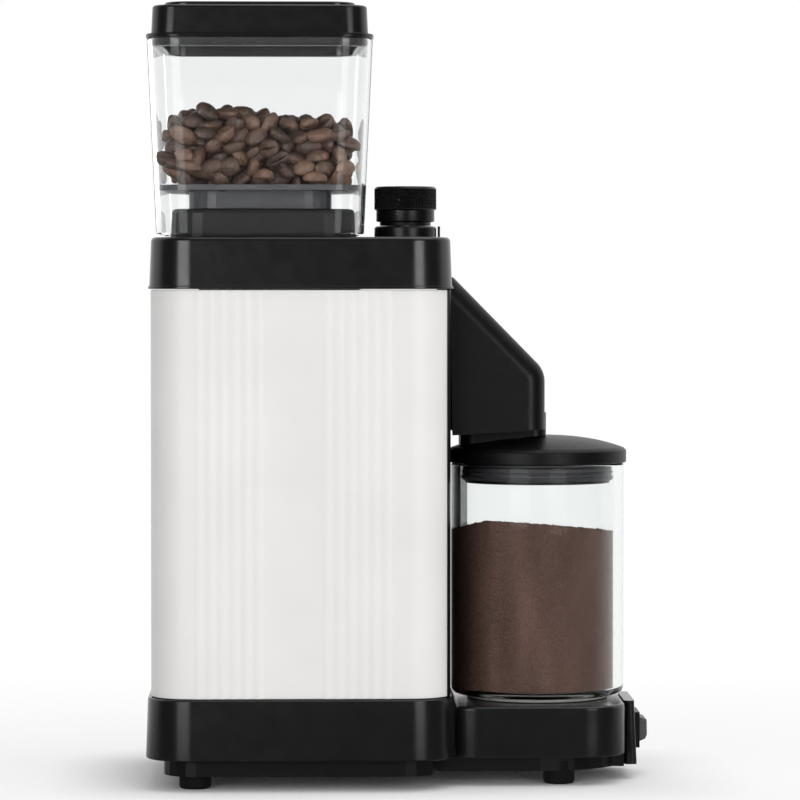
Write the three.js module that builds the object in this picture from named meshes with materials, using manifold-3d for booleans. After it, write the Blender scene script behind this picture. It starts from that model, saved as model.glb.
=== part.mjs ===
// Burr coffee grinder: a tower with a bean hopper on top, and a glass jar in front of it.
// Millimetres, +Z up. While the pieces are made, X = 0 is the middle of the tower, +X points
// to the jar, and Z = 0 is the worktop. The last lines centre the whole object on its own box.
import * as THREE from 'three';
import { mergeVertices, toCreasedNormals } from 'three/addons/utils/BufferGeometryUtils.js';
import Module from 'manifold-3d';

const wasm = await Module();
wasm.setup();

// Fits that all pieces share
const seam = 0.3;               // gap between two pieces that touch
const overrun = 4;              // how far a cutting tool runs past what it cuts
const moulding = 2.5;           // wall of a moulded plastic part
const plateWall = 3;            // flat top or deck of a moulded part
const samePoint = 1e-4;         // corners closer than this are one corner

// Tower: a sheet shell with two groups of embossed ribs on each side
const towerDepth = 128.8;
const towerWidth = 124;
const towerHeight = 174.4;
const towerCorner = 18;
const sheet = 1.6;
const ribPitch = 5.1;
const ribWidth = 3.6;
const ribRise = 0.6;
const rearRibsInset = 33.6;     // from the tower's rear to the middle of the rear ribs
const frontRibsInset = 40.6;    // from the tower's front to the middle of the front ribs
const panelLip = 1.5;           // part of the front panel that shows beyond the shell
const panelPlug = 2;            // part of the front panel inside the shell
const panelEdge = 12;           // from the tower's side to the edge of the shell's opening

// Base, bottom plate and feet
const footHeight = 6;
const footRadius = 7.1;
const footDraft = 0.3;
const footStudRadius = 2.5;
const footStudHeight = 4.5;
const rearFootInsetX = 18.9;
const rearFootInsetY = 17;
const frontFootAhead = 8.5;     // from the tray's centre
const frontFootY = 31;
const plateHeight = 7;
const plateInset = 5.4;
const plateCorner = 14;
const trayPlateInset = 5.5;
const trayPlateHalfWidth = 21.9;
const baseHeight = 26.2;
const baseProudTop = 1.5;
const baseProudBottom = 2.3;
const baseEdge = 1;
const deckHoleRadius = 30;
const screwBossRadius = 4.5;
const frontBossInsetX = 14.4;
const frontBossInsetY = 20;
const ventLength = 34;
const ventWidth = 3;
const ventPitch = 6;
const ventInset = 36.4;         // from the tower's front to the middle of the vents
const padBack = 6.5;            // from the tray's centre back to the pads
const padY = 17;
const padLength = 18;
const padWidth = 6;
const padDrop = 1.5;
const boardLength = 62;
const boardWidth = 50;
const boardThickness = 1.6;
const boardInset = 42.4;        // from the tower's rear to the middle of the board
const boardPostHeight = 8;
const boardPostRadius = 3;
const boardPostInset = 5;
const relayLength = 19;
const relayWidth = 15;
const relayHeight = 10;
const capacitorRadius = 6;
const capacitorHeight = 10.5;
const glandInset = 17.4;        // from the tower's rear
const glandRadius = 6;
const glandFlange = 2.5;
const glandBore = 3.6;
const glandFlangeHeight = 0.7;

// Tray that the jar stands on, with the switch in its front
const trayAhead = 39.1;         // from the tower's front to the tray's centre
const trayHalfWidth = 44.5;
const trayFlatAhead = 37.6;     // from the tray's centre to its flat front
const trayFrontCorner = 19;
const trayRearCorner = 18;
const trayCornerAhead = 10;     // from the tray's rear to the middle of its rear corners
const trayRise = 21.2;
const trayDrop = 0.8;
const trayEdge = 1.5;
const frontPlateWidth = 40;
const frontPlateCorner = 2;
const frontPlateTopDepth = 4.4;
const frontPlateBottomDepth = 5.6;
const frontPlateDrop = 6.7;
const padRadius = 31;
const padThickness = 1.3;
const bezelHeight = 15.6;
const bezelWidth = 21;
const bezelDepth = 1.9;
const bezelRim = 0.7;
const bezelSeat = 1.5;
const rockerBelowTop = 13.9;    // from the tray's top down to the rocker's pivot
const rockerWidth = 17;
const rockerPivotDepth = 0.5;
const rockerFace = 1.6;
const rockerHalfThrow = 11;     // degrees each way from the middle
const rockerStemDepth = 5;
const rockerStemHeight = 5;
const switchCaseDepth = 14;
const switchCaseGap = 0.1;
const terminalLength = 5;
const terminalThickness = 0.8;

// Top cap with the upstand that the hopper fits over
const capHeight = 22.2;
const capLipProud = 1.1;
const capLipHeight = 1.2;
const capProudBottom = 0.6;
const capProudTop = -0.2;
const capEdge = 1.8;
const collarBack = 6.7;         // from the burr axis back to the upstand's middle
const collarSize = 80.7;
const collarTaper = 0.8;
const collarCorner = 14;
const collarHeight = 12.4;

// Hopper, its floor and its lid
const hopperBack = 1.4;         // from the upstand's middle back to the hopper's middle
const hopperLift = 1.5;
const hopperBottomSize = 89.9;
const hopperTopSize = 97.5;
const hopperHeight = 83.9;
const hopperCorner = 15;
const hopperWall = 2;
const hopperEdge = 0.5;
const floorRise = 8;            // from the upstand's top to the underside of the hopper floor
const floorThickness = 2.3;
const funnelSize = 62;
const funnelCorner = 12;
const funnelMouthRadius = 22;
const throatRadius = 17.5;
const throatWall = 2.2;
const throatGap = 2.6;          // from the upper burr carrier to the hopper's outlet
const lidFlangeProud = 0.3;
const lidFlangeHeight = 1.8;
const lidSizeBottom = 93.8;
const lidSizeTop = 92.3;
const lidHeight = 12.1;
const lidCorner = 13;
const lidEdge = 1.6;
const lidPanelSize = 82;
const lidPanelHeight = 1.7;
const lidPlugGap = 0.5;
const lidPlugHeight = 3.6;
const gasketGroove = 1.2;
const gasketHeight = 1.6;
const gasketRise = 1;
const gasketProud = 0.1;

// Grind setting: knob, pinion and toothed ring
const knobInset = 18.4;         // from the tower's front
const knobRadius = 13.7;
const knobCapHeight = 10;
const knobSkirtRadius = 12.8;
const knobSkirtHeight = 5.3;
const knobNeckRadius = 11.25;
const knobNeckHeight = 1.8;
const knobEdge = 0.5;
const knurlDepth = 0.4;
const knobCollarRadius = 13.65;
const knobCollarHeight = 5.1;
const pointerGap = 0.6;
const pointerThickness = 1;
const pointerWidth = 3;
const spindleRadius = 4;
const spindleInKnob = 8;
const spindleFoot = 2.6;
const gearModule = 1.5;
const ringTeeth = 56;
const pinionTeeth = 18;
const pressureAngle = 20;
const dedendumShare = 1.25;     // depth below the pitch circle, as a share of the module
const backlash = 0.3;
const ringHeight = 7;
const threadRadius = 30.6;

// Grinding chamber with its burrs
const flangeDepth = 15.3;       // from the top of the cap down to the chamber's flange
const flangeThickness = 3.9;
const flangeRadius = 46;
const lobeRadius = 10;
const chamberDepth = 29.4;
const chamberGap = 0.9;
const chamberWall = 4;
const chamberFloor = 4;
const bossHeight = 11.4;
const bossWall = 3.5;
const keyWidth = 6;
const keyReach = 2.9;
const keyHeight = 4;
const keyLift = 1.8;
const spoutWidth = 28;
const spoutHeight = 13;
const burrRadius = 24.5;
const burrBore = 10;
const burrThickness = 4.8;
const burrGap = 0.5;
const burrDish = 1.6;
const burrRimWidth = 5;
const breakerWidth = 3;
const breakerDepth = 1.4;
const toothWidth = 0.9;
const toothDepth = 0.7;
const carrierHeight = 19;
const carrierMouthRadius = 24;
const discRadius = 27;
const discLift = 1.5;
const discHeight = 5.2;
const discHubRadius = 8.5;
const discHubHeight = 4.3;
const vaneWidth = 3;
const vaneGap = 0.6;
const nutRadius = 8;
const nutHeight = 4.6;
const nutTop = 1.6;

// Motor and the frame that carries it
const postRadius = 4;
const postReach = 42;           // from the burr axis to each post, along X and along Y
const motorPlateSize = 98;
const motorPlateCorner = 8;
const motorPlateThickness = 4;
const motorPlateHole = 8;
const shaftRadius = 5;
const bearingRadius = 11;
const bearingHeight = 7;
const canRadius = 40;
const canWall = 2;
const canHeight = 82;
const endCapThickness = 4;
const endCapBossHeight = 7;
const endCapVentRadius = 4.5;
const endCapVentCircle = 26;
const statorBore = 24.3;
const statorHeight = 46;
const statorDrop = 22;
const rotorAirGap = 0.6;
const rotorOver = 2;
const fanDrop = 7;
const fanRadius = 34;
const fanHubRadius = 11;
const fanDisc = 1.5;
const fanBladeHeight = 8;
const fanBladeWidth = 1.6;
const shaftBelowCap = 3;

// Chute that leads the ground coffee from the chamber down to the jar
const chuteWidth = 60;
const chuteTopAhead = 1.9;      // from the tower's front
const chuteTopAboveCap = 4.6;   // from the cap's lower edge up to the top of the chute
const chuteFrontAhead = 41.8;   // from the tower's front
const chuteFrontHeight = 22.4;  // upright part of the chute's front
const chuteBend = 11.7;
const chuteEdge = 4;
const chuteAboveLid = 0.8;
const chuteBottomRise = 2.4;    // from the rear to the front of the chute's lower edge
const outletRearAhead = 4;      // from the tower's front
const outletFrontProud = 1.3;   // beyond the chute's front
const outletHalfWidth = 26;
const outletInside = 7;
const outletGap = 0.6;
const outletMouthSize = 18;
const outletTopLength = 29;
const outletTopWidth = 44;
const outletCorner = 3;

// Glass jar with its lid
const jarAhead = 0.8;           // from the tray's centre
const jarRadius = 38.1;
const jarWall = 4;
const jarHeight = 101.6;
const jarFloor = 3;
const jarHeel = 4.5;
const jarHeelInside = 4.2;
const jarLipRadius = 1;
const jarLidProud = 1.1;
const jarLidRim = 6;
const jarLidDome = 5.9;
const jarLidWall = 2.5;
const plugDepth = 8.8;
const plugGap = 1.7;
const plugWall = 2.5;
const sealHeight = 5.5;
const sealLip = 0.6;
const sealLedge = 1;
const lidHoleRadius = 11;
const lidHoleRearward = 15.5;

// Counts
const ribCount = 6;
const ribSteps = 4;
const cornerSteps = 5;
const edgeSteps = 2;
const roundSteps = 32;
const smallSteps = 14;
const domeSteps = 5;
const traySteps = 8;
const heelSteps = 3;
const knurlCount = 30;
const breakerCount = 6;
const toothCount = 12;
const vaneCount = 3;
const keyCount = 3;
const bladeCount = 9;
const ventCount = 6;
const terminalCount = 3;
const endCapVentCount = 6;
const flankSteps = 2;
const chuteEdgeSteps = 3;

// Heights, stacked from the worktop upwards
const plateTopZ = footHeight + plateHeight;
const baseZ = plateTopZ + seam;
const deckTopZ = baseZ + baseHeight;
const shellZ = deckTopZ + seam;
const shellTopZ = shellZ + towerHeight;
const capZ = shellTopZ + seam;
const capTopZ = capZ + capHeight;
const collarTopZ = capTopZ + collarHeight;
const hopperZ = capTopZ + hopperLift;
const hopperTopZ = hopperZ + hopperHeight;
const lidZ = hopperTopZ + seam;
const trayTopZ = baseZ + trayRise;
const jarZ = trayTopZ + seam + padThickness + seam;
const jarTopZ = jarZ + jarHeight;
const jarLidZ = jarTopZ + seam;
const jarLidTopZ = jarLidZ + jarLidRim + jarLidDome;
const chuteZ = jarLidTopZ + chuteAboveLid;

// Places that follow from the sizes above
const front = towerDepth / 2;
const rearRibsX = rearRibsInset - front;
const frontRibsX = front - frontRibsInset;
const rearFootX = rearFootInsetX - front;
const rearFootY = towerWidth / 2 - rearFootInsetY;
const frontBossX = front - frontBossInsetX;
const frontBossY = towerWidth / 2 - frontBossInsetY;
const ventX = front - ventInset;
const boardX = boardInset - front;
const glandX = glandInset - front;
const trayX = front + trayAhead;
const trayFlatX = trayX + trayFlatAhead;
const trayPlateRadius = trayHalfWidth - trayPlateInset;
const frontFootX = trayX + frontFootAhead;
const padX = trayX - padBack;
const knobX = front - knobInset;
const chuteTopX = front + chuteTopAhead;
const chuteFrontX = front + chuteFrontAhead;
const outletRearX = front + outletRearAhead;
const outletFrontX = chuteFrontX + outletFrontProud;
const jarX = trayX + jarAhead;
const burrX = knobX - gearModule * (ringTeeth + pinionTeeth) / 2;
const collarX = burrX - collarBack;
const hopperX = collarX - hopperBack;
const panelBackX = front - panelLip;
const shellEdgeX = panelBackX - seam;
const openingHalf = towerWidth / 2 - panelEdge;
const trayRearX = front + baseProudBottom + seam;
const frontPlateX = trayFlatX + seam;
const flangeTopZ = capTopZ - flangeDepth;
const chamberFloorZ = flangeTopZ - chamberDepth;
const bossZ = chamberFloorZ - chamberFloor - bossHeight;
const motorPlateZ = bossZ - seam - motorPlateThickness;
const canTopZ = motorPlateZ - seam;
const canZ = canTopZ - canHeight;
const endCapZ = canZ - seam - endCapThickness;
const discZ = chamberFloorZ + discLift;
const lowerBurrZ = discZ + discHeight + seam;
const upperBurrZ = lowerBurrZ + burrThickness + burrGap;
const carrierZ = upperBurrZ + burrThickness + seam;
const carrierTopZ = carrierZ + carrierHeight;
const chamberRadius = threadRadius + chamberGap;
const throatZ = carrierTopZ + throatGap;

// Finishes
const paint = (color, roughness, metalness = 0) =>
  new THREE.MeshStandardMaterial({ color, roughness, metalness });
const clear = (color, roughness, opacity) =>
  new THREE.MeshStandardMaterial({ color, roughness, metalness: 0, transparent: true, opacity });
const whiteEnamel = paint(0xe4e3e0, 0.3);
const glossBlack = paint(0x202022, 0.25);
const mattBlack = paint(0x1c1c1e, 0.55);
const darkGrey = paint(0x3a3a3d, 0.45);
const blackRubber = paint(0x141414, 0.85);
const greyRubber = paint(0x4a4a4c, 0.8);
const anodised = paint(0x19191b, 0.4, 0.7);
const castAluminium = paint(0xa9abae, 0.55, 0.9);
const turnedSteel = paint(0xb4b6b8, 0.3, 0.95);
const burrSteel = paint(0x8f9193, 0.35, 0.95);
const nylon = paint(0xd8d4c8, 0.5);
const circuitGreen = paint(0x2c6b45, 0.5);
const clearPlastic = clear(0xf0f2f3, 0.08, 0.3);
const clearGlass = clear(0xeef4f2, 0.03, 0.3);

// Closed solids from geometries
function solid(geometry) {
  const bare = geometry.index ? geometry.toNonIndexed() : geometry.clone();
  bare.deleteAttribute('normal');
  bare.deleteAttribute('uv');
  const merged = mergeVertices(bare, samePoint);
  const position = merged.attributes.position.array;
  const corners = [];
  const index = merged.index.array;
  let sixVolumes = 0;
  const at = (i) => new THREE.Vector3().fromArray(position, 3 * i);
  for (let i = 0; i < index.length; i += 3) {
    const [a, b, c] = [index[i], index[i + 1], index[i + 2]];
    if (a === b || b === c || c === a) continue;
    corners.push(a, b, c);
    sixVolumes += at(a).dot(at(b).cross(at(c)));
  }
  if (sixVolumes < 0) corners.reverse();
  return new wasm.Manifold(new wasm.Mesh({
    numProp: 3,
    vertProperties: position,
    triVerts: Uint32Array.from(corners),
  }));
}

const join = (first, ...others) => others.reduce((sum, other) => sum.add(other), first);
const cut = (first, ...others) => others.reduce((rest, other) => rest.subtract(other), first);
const times = (count, make) => Array.from({ length: count }, (_, i) => make(i));

// Box between two corners
function block(x0, x1, y0, y1, z0, z1) {
  const geometry = new THREE.BoxGeometry(x1 - x0, y1 - y0, z1 - z0);
  geometry.translate((x0 + x1) / 2, (y0 + y1) / 2, (z0 + z1) / 2);
  return solid(geometry);
}

// Upright rod at a place
function rod(x, y, radius, z0, z1, steps = smallSteps) {
  const geometry = new THREE.CylinderGeometry(radius, radius, z1 - z0, steps);
  geometry.rotateX(Math.PI / 2);
  geometry.translate(x, y, (z0 + z1) / 2);
  return solid(geometry);
}

// Profile of [radius, height] pairs turned about an upright axis
function turned(x, y, profile, steps = roundSteps) {
  const points = profile.map(([r, z]) => new THREE.Vector2(r, z));
  const onAxis = profile[0][0] === 0 && profile.at(-1)[0] === 0;
  if (!onAxis) points.push(points[0].clone());
  const geometry = new THREE.LatheGeometry(points, steps);
  geometry.rotateX(Math.PI / 2);
  geometry.translate(x, y, 0);
  return solid(geometry);
}

// Outline, with any holes, raised between two heights
function prism(outline, z0, z1, holes = []) {
  const shape = new THREE.Shape(outline);
  shape.holes = holes.map((hole) => new THREE.Path(hole));
  const geometry = new THREE.ExtrudeGeometry(shape, { depth: z1 - z0, bevelEnabled: false });
  geometry.translate(0, 0, z0);
  return solid(geometry);
}

// Solid through a stack of outlines that all have the same number of points
function loft(levels) {
  const count = levels[0].outline.length;
  const position = levels.flatMap(({ z, outline }) => outline.flatMap((p) => [p.x, p.y, z]));
  const index = [];
  const lid = (level) => THREE.ShapeUtils.triangulateShape(levels.at(level).outline, []);
  lid(0).forEach(([a, b, c]) => index.push(c, b, a));
  const top = (levels.length - 1) * count;
  lid(-1).forEach(([a, b, c]) => index.push(top + a, top + b, top + c));
  for (let low = 0; low < top; low += count) {
    for (let i = 0; i < count; i++) {
      const next = (i + 1) % count;
      index.push(low + i, low + next, low + count + next);
      index.push(low + i, low + count + next, low + count + i);
    }
  }
  const geometry = new THREE.BufferGeometry();
  geometry.setAttribute('position', new THREE.Float32BufferAttribute(position, 3));
  geometry.setIndex(index);
  return solid(geometry);
}

// Outline in X and Z carried along Y
function sidePrism(outline, y0, y1) {
  const depth = y1 - y0;
  const geometry = new THREE.ExtrudeGeometry(new THREE.Shape(outline), { depth, bevelEnabled: false });
  geometry.rotateX(Math.PI / 2);
  geometry.translate(0, y1, 0);
  return solid(geometry);
}

// Outlines
const point = (x, y) => new THREE.Vector2(x, y);

// Rounded rectangle, anticlockwise
function rounded(x, y, depth, width, radius) {
  const points = [];
  [[1, 1], [-1, 1], [-1, -1], [1, -1]].forEach(([sideX, sideY], quarter) => {
    for (let i = 0; i <= cornerSteps; i++) {
      const angle = (quarter + i / cornerSteps) * Math.PI / 2;
      points.push(point(
        x + sideX * (depth / 2 - radius) + radius * Math.cos(angle),
        y + sideY * (width / 2 - radius) + radius * Math.sin(angle),
      ));
    }
  });
  return points;
}

// The tower's outline, grown or shrunk all round
const towerOutline = (grow) =>
  rounded(0, 0, towerDepth + 2 * grow, towerWidth + 2 * grow, towerCorner + grow);

const square = (x, size, corner) => rounded(x, 0, size, size, corner);

// Stack of square outlines whose top edge is rounded off
function edged(outlineAt, z, edge) {
  return times(edgeSteps + 1, (i) => {
    const angle = i / edgeSteps * Math.PI / 2;
    return { z: z - edge * (1 - Math.sin(angle)), outline: outlineAt(-edge * (1 - Math.cos(angle))) };
  });
}

// Involute spur gear outline, one tooth centred on the angle "turn"
function gearOutline(teeth, turn) {
  const pitchRadius = gearModule * teeth / 2;
  const baseRadius = pitchRadius * Math.cos(THREE.MathUtils.degToRad(pressureAngle));
  const tipRadius = pitchRadius + gearModule;
  const rootRadius = pitchRadius - dedendumShare * gearModule;
  const involute = (angle) => Math.tan(angle) - angle;
  const halfTooth = (Math.PI * gearModule - backlash) / (4 * pitchRadius);
  const halfAt = (radius) => halfTooth
    + involute(THREE.MathUtils.degToRad(pressureAngle))
    - involute(Math.acos(Math.min(1, baseRadius / radius)));
  const lowest = Math.max(baseRadius, rootRadius);
  const flank = times(flankSteps, (i) => lowest + (tipRadius - lowest) * i / (flankSteps - 1));
  const polar = (radius, angle) => point(radius * Math.cos(angle), radius * Math.sin(angle));
  return times(teeth, (tooth) => {
    const middle = turn + tooth * 2 * Math.PI / teeth;
    return [
      polar(rootRadius, middle - halfAt(lowest)),
      ...flank.map((radius) => polar(radius, middle - halfAt(radius))),
      ...flank.toReversed().map((radius) => polar(radius, middle + halfAt(radius))),
      polar(rootRadius, middle + halfAt(lowest)),
    ];
  }).flat().filter((p, i, all) => p.distanceTo(all.at(i - 1)) > samePoint);
}

const shifted = (outline, x) => outline.map((p) => point(p.x + x, p.y));

// The object and its bodies
const grinder = new THREE.Group();
const group = () => {
  const made = new THREE.Group();
  grinder.add(made);
  return made;
};
const housing = group();
const mechanism = group();
const hopperBody = group();
const jarBody = group();
const rockerBody = group();

function piece(parent, name, material, shape) {
  const { vertProperties, triVerts } = shape.getMesh();
  const geometry = new THREE.BufferGeometry();
  geometry.setAttribute('position', new THREE.BufferAttribute(vertProperties, 3));
  geometry.setIndex(new THREE.BufferAttribute(triVerts, 1));
  const mesh = new THREE.Mesh(toCreasedNormals(geometry, Math.PI / 6), material);
  mesh.name = name;
  parent.add(mesh);
}

// Body shell: ribs are bumps in the outline of a sheet bent round the tower
function ribbedOutline() {
  const outline = towerOutline(0);
  const ribsX = [rearRibsX, frontRibsX].flatMap((middle) =>
    times(ribCount, (i) => middle + (i - (ribCount - 1) / 2) * ribPitch));
  const side = ribsX.flatMap((x) => times(ribSteps + 1, (i) => point(
    x + (i / ribSteps - 1 / 2) * ribWidth,
    ribRise * Math.sin(Math.PI * i / ribSteps),
  )));
  const left = side.toReversed().map((p) => point(p.x, towerWidth / 2 + p.y));
  const right = side.map((p) => point(p.x, -towerWidth / 2 - p.y));
  const corner = cornerSteps + 1;
  return [...outline.slice(0, corner), ...left, ...outline.slice(corner, 3 * corner), ...right,
    ...outline.slice(3 * corner)];
}

const shellRing = prism(ribbedOutline(), shellZ, shellTopZ, [towerOutline(-sheet)]);
piece(housing, 'body_shell', whiteEnamel, cut(
  shellRing,
  block(shellEdgeX, front + overrun, -towerWidth, towerWidth, shellZ - overrun, shellTopZ + overrun),
  block(front - towerCorner, front + overrun, -openingHalf, openingHalf,
    shellZ - overrun, shellTopZ + overrun),
));

// Front panel: closes the shell, and lets the chamber's spout through
const spoutHalf = spoutWidth / 2;
const spoutTopZ = chamberFloorZ + spoutHeight;
const panelPlugHalf = openingHalf - seam;
piece(housing, 'front_panel', mattBlack, cut(
  join(
    prism(towerOutline(0), shellZ, shellTopZ).intersect(
      block(panelBackX, front + overrun, -towerWidth, towerWidth, shellZ, shellTopZ)),
    block(panelBackX - panelPlug, panelBackX + sheet / 2, -panelPlugHalf, panelPlugHalf, shellZ, shellTopZ),
  ),
  block(panelBackX - panelPlug - overrun, front + overrun,
    -spoutHalf - moulding - seam, spoutHalf + moulding + seam,
    chamberFloorZ - moulding - seam, spoutTopZ + moulding + seam),
));

// Base: a flared skirt under a deck that carries the motor frame
const screwBosses = [[rearFootX, -rearFootY], [rearFootX, rearFootY], [frontBossX, -frontBossY],
  [frontBossX, frontBossY]];
piece(housing, 'base_skirt', glossBlack, cut(
  join(
    cut(
      loft([
        { z: baseZ, outline: towerOutline(baseProudBottom) },
        ...edged((grow) => towerOutline(baseProudTop + grow), deckTopZ, baseEdge),
      ]),
      loft([
        { z: baseZ - overrun, outline: towerOutline(baseProudBottom - moulding) },
        { z: deckTopZ - plateWall, outline: towerOutline(baseProudTop - moulding) },
      ]),
    ),
    ...screwBosses.map(([x, y]) => rod(x, y, screwBossRadius, plateTopZ + seam, deckTopZ - moulding)),
  ),
  rod(burrX, 0, deckHoleRadius, baseZ, deckTopZ + overrun, roundSteps),
));

// Bottom plate: one outline under tower and tray, with feet, vents, gland and board posts
const plateDepth = towerDepth - 2 * plateInset;
const plateWidth = towerWidth - 2 * plateInset;
const boardPosts = [-1, 1].flatMap((sideX) => [-1, 1].map((sideY) => [
  boardX + sideX * (boardLength / 2 - boardPostInset),
  sideY * (boardWidth / 2 - boardPostInset),
]));
const feet = [
  ['foot_rear_right', rearFootX, -rearFootY],
  ['foot_rear_left', rearFootX, rearFootY],
  ['foot_front_right', frontFootX, -frontFootY],
  ['foot_front_left', frontFootX, frontFootY],
];
const bottomPad = (y) => block(
  padX - padLength / 2, padX + padLength / 2, y - padWidth / 2, y + padWidth / 2,
  footHeight - padDrop, footHeight + plateWall);
const plateSlab = (grow) => {
  const half = trayPlateRadius + grow;
  const frontHalf = trayPlateHalfWidth + grow;
  const [low, high] = [footHeight - grow, plateTopZ + grow];
  return join(
    prism(rounded(0, 0, plateDepth + 2 * grow, plateWidth + 2 * grow, plateCorner + grow), low, high),
    block(0, trayX, -half, half, low, high),
    rod(trayX, 0, half, low, high, roundSteps),
    block(trayX, trayFlatX + overrun, -frontHalf, frontHalf, low, high),
  ).intersect(block(-towerDepth, trayFlatX + grow, -towerWidth, towerWidth, low, high));
};
piece(housing, 'bottom_plate', mattBlack, cut(
  join(
    plateSlab(0),
    bottomPad(-padY),
    bottomPad(padY),
    ...boardPosts.map(([x, y]) => rod(x, y, boardPostRadius, plateTopZ - seam, plateTopZ + boardPostHeight)),
  ),
  ...feet.map(([, x, y]) => rod(x, y, footStudRadius + seam,
    footHeight - overrun, footHeight + footStudHeight + seam)),
  ...times(ventCount, (i) => {
    const x = ventX + (i - (ventCount - 1) / 2) * ventPitch;
    return block(x - ventWidth / 2, x + ventWidth / 2, -ventLength / 2, ventLength / 2,
      footHeight - overrun, plateTopZ + overrun);
  }),
  rod(glandX, 0, glandRadius + seam, footHeight - overrun, plateTopZ + overrun),
));

feet.forEach(([name, x, y]) => piece(housing, name, blackRubber, turned(x, y, [
  [0, 0],
  [footRadius - footDraft, 0],
  [footRadius, footHeight / 2],
  [footRadius, footHeight - seam],
  [footStudRadius, footHeight - seam],
  [footStudRadius, footHeight + footStudHeight],
  [0, footHeight + footStudHeight],
], smallSteps)));

piece(housing, 'cord_gland', blackRubber, turned(glandX, 0, [
  [glandBore, footHeight - seam - glandFlangeHeight],
  [glandRadius + glandFlange, footHeight - seam - glandFlangeHeight],
  [glandRadius + glandFlange, footHeight - seam],
  [glandRadius, footHeight - seam],
  [glandRadius, plateTopZ + glandFlange],
  [glandBore, plateTopZ + glandFlange],
], smallSteps));

// Control board under the deck, with its relay and capacitor
const boardZ = plateTopZ + boardPostHeight + seam;
const boardTopZ = boardZ + boardThickness;
const boardRearX = boardX - boardLength / 2;
piece(housing, 'control_board', circuitGreen, block(
  boardRearX, boardRearX + boardLength, -boardWidth / 2, boardWidth / 2, boardZ, boardTopZ));
piece(housing, 'board_relay', mattBlack, block(
  boardX - relayLength, boardX, -relayWidth / 2, relayWidth / 2,
  boardTopZ + seam, boardTopZ + seam + relayHeight));
piece(housing, 'board_capacitor', darkGrey, rod(
  boardX + boardLength / 2 - boardPostInset - capacitorRadius, 0, capacitorRadius,
  boardTopZ + seam, boardTopZ + seam + capacitorHeight));

// Tray: a platform with rounded corners, screwed to the bottom plate
function trayOutline(grow) {
  const nose = trayFrontCorner + grow;
  const noseX = trayFlatX - trayFrontCorner;
  const noseY = trayHalfWidth - trayFrontCorner;
  const corner = trayRearCorner + grow;
  const cornerX = trayRearX + trayCornerAhead;
  const cornerY = trayHalfWidth - trayRearCorner;
  const shut = Math.PI - Math.acos((trayCornerAhead + grow) / corner);
  const arc = (x, y, r, from, to) => times(traySteps + 1, (i) => {
    const angle = from + (to - from) * i / traySteps;
    return point(x + r * Math.cos(angle), y + r * Math.sin(angle));
  });
  return [
    ...arc(cornerX, -cornerY, corner, -shut, -Math.PI / 2),
    ...arc(noseX, -noseY, nose, -Math.PI / 2, 0),
    ...arc(noseX, noseY, nose, 0, Math.PI / 2),
    ...arc(cornerX, cornerY, corner, Math.PI / 2, shut),
  ];
}

const rockerPivotZ = trayTopZ - rockerBelowTop;
const bezelX = frontPlateX + frontPlateBottomDepth;
const rockerPivotX = bezelX + bezelDepth - rockerPivotDepth;
const switchHoleY = rockerWidth / 2 + seam;
const switchHoleZ = bezelHeight / 2 - bezelRim - bezelSeat;
const switchHole = block(trayX, bezelX + overrun, -switchHoleY, switchHoleY,
  rockerPivotZ - switchHoleZ, rockerPivotZ + switchHoleZ);
piece(housing, 'tray', glossBlack, cut(
  join(
    cut(
      loft([
        { z: baseZ - trayDrop, outline: trayOutline(0) },
        ...edged(trayOutline, trayTopZ, trayEdge),
      ]),
      prism(trayOutline(-moulding), baseZ - overrun, trayTopZ - plateWall),
    ),
    rod(frontFootX, -frontFootY, screwBossRadius, plateTopZ + seam, trayTopZ - moulding),
    rod(frontFootX, frontFootY, screwBossRadius, plateTopZ + seam, trayTopZ - moulding),
  ),
  plateSlab(seam),
  switchHole,
));

piece(housing, 'jar_pad', blackRubber, rod(jarX, 0, padRadius,
  trayTopZ + seam, trayTopZ + seam + padThickness, roundSteps));

// Front plate of the tray, a little deeper at its foot
const frontPlateOutline = (depth) =>
  rounded(frontPlateX + depth / 2, 0, depth, frontPlateWidth, frontPlateCorner);
piece(housing, 'front_plate', glossBlack, cut(
  loft([
    { z: baseZ - frontPlateDrop, outline: frontPlateOutline(frontPlateBottomDepth) },
    { z: trayTopZ, outline: frontPlateOutline(frontPlateTopDepth) },
  ]),
  switchHole,
));

// Switch: case, bezel and a rocker whose two faces meet at twice its half throw
const caseY = switchHoleY - seam - switchCaseGap;
const caseZ = switchHoleZ - seam - switchCaseGap;
const caseFrontX = rockerPivotX - Math.hypot(rockerStemDepth, rockerStemHeight / 2) - seam;
const caseRearX = caseFrontX - switchCaseDepth;
piece(housing, 'switch_case', mattBlack, join(
  block(caseRearX, caseFrontX, -caseY, caseY, rockerPivotZ - caseZ, rockerPivotZ + caseZ),
  ...times(terminalCount, (i) => {
    const y = (i - 1) * caseY / 2;
    return block(caseRearX - terminalLength, caseRearX + seam, y - terminalThickness / 2,
      y + terminalThickness / 2, rockerPivotZ - caseZ / 2, rockerPivotZ + caseZ / 2);
  }),
));

const bezelHalfZ = bezelHeight / 2;
piece(housing, 'switch_bezel', mattBlack, cut(
  block(bezelX, bezelX + bezelDepth, -bezelWidth / 2, bezelWidth / 2,
    rockerPivotZ - bezelHalfZ, rockerPivotZ + bezelHalfZ),
  block(bezelX - overrun, bezelX + bezelDepth + overrun, -switchHoleY, switchHoleY,
    rockerPivotZ - bezelHalfZ + bezelRim, rockerPivotZ + bezelHalfZ - bezelRim),
));

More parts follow.
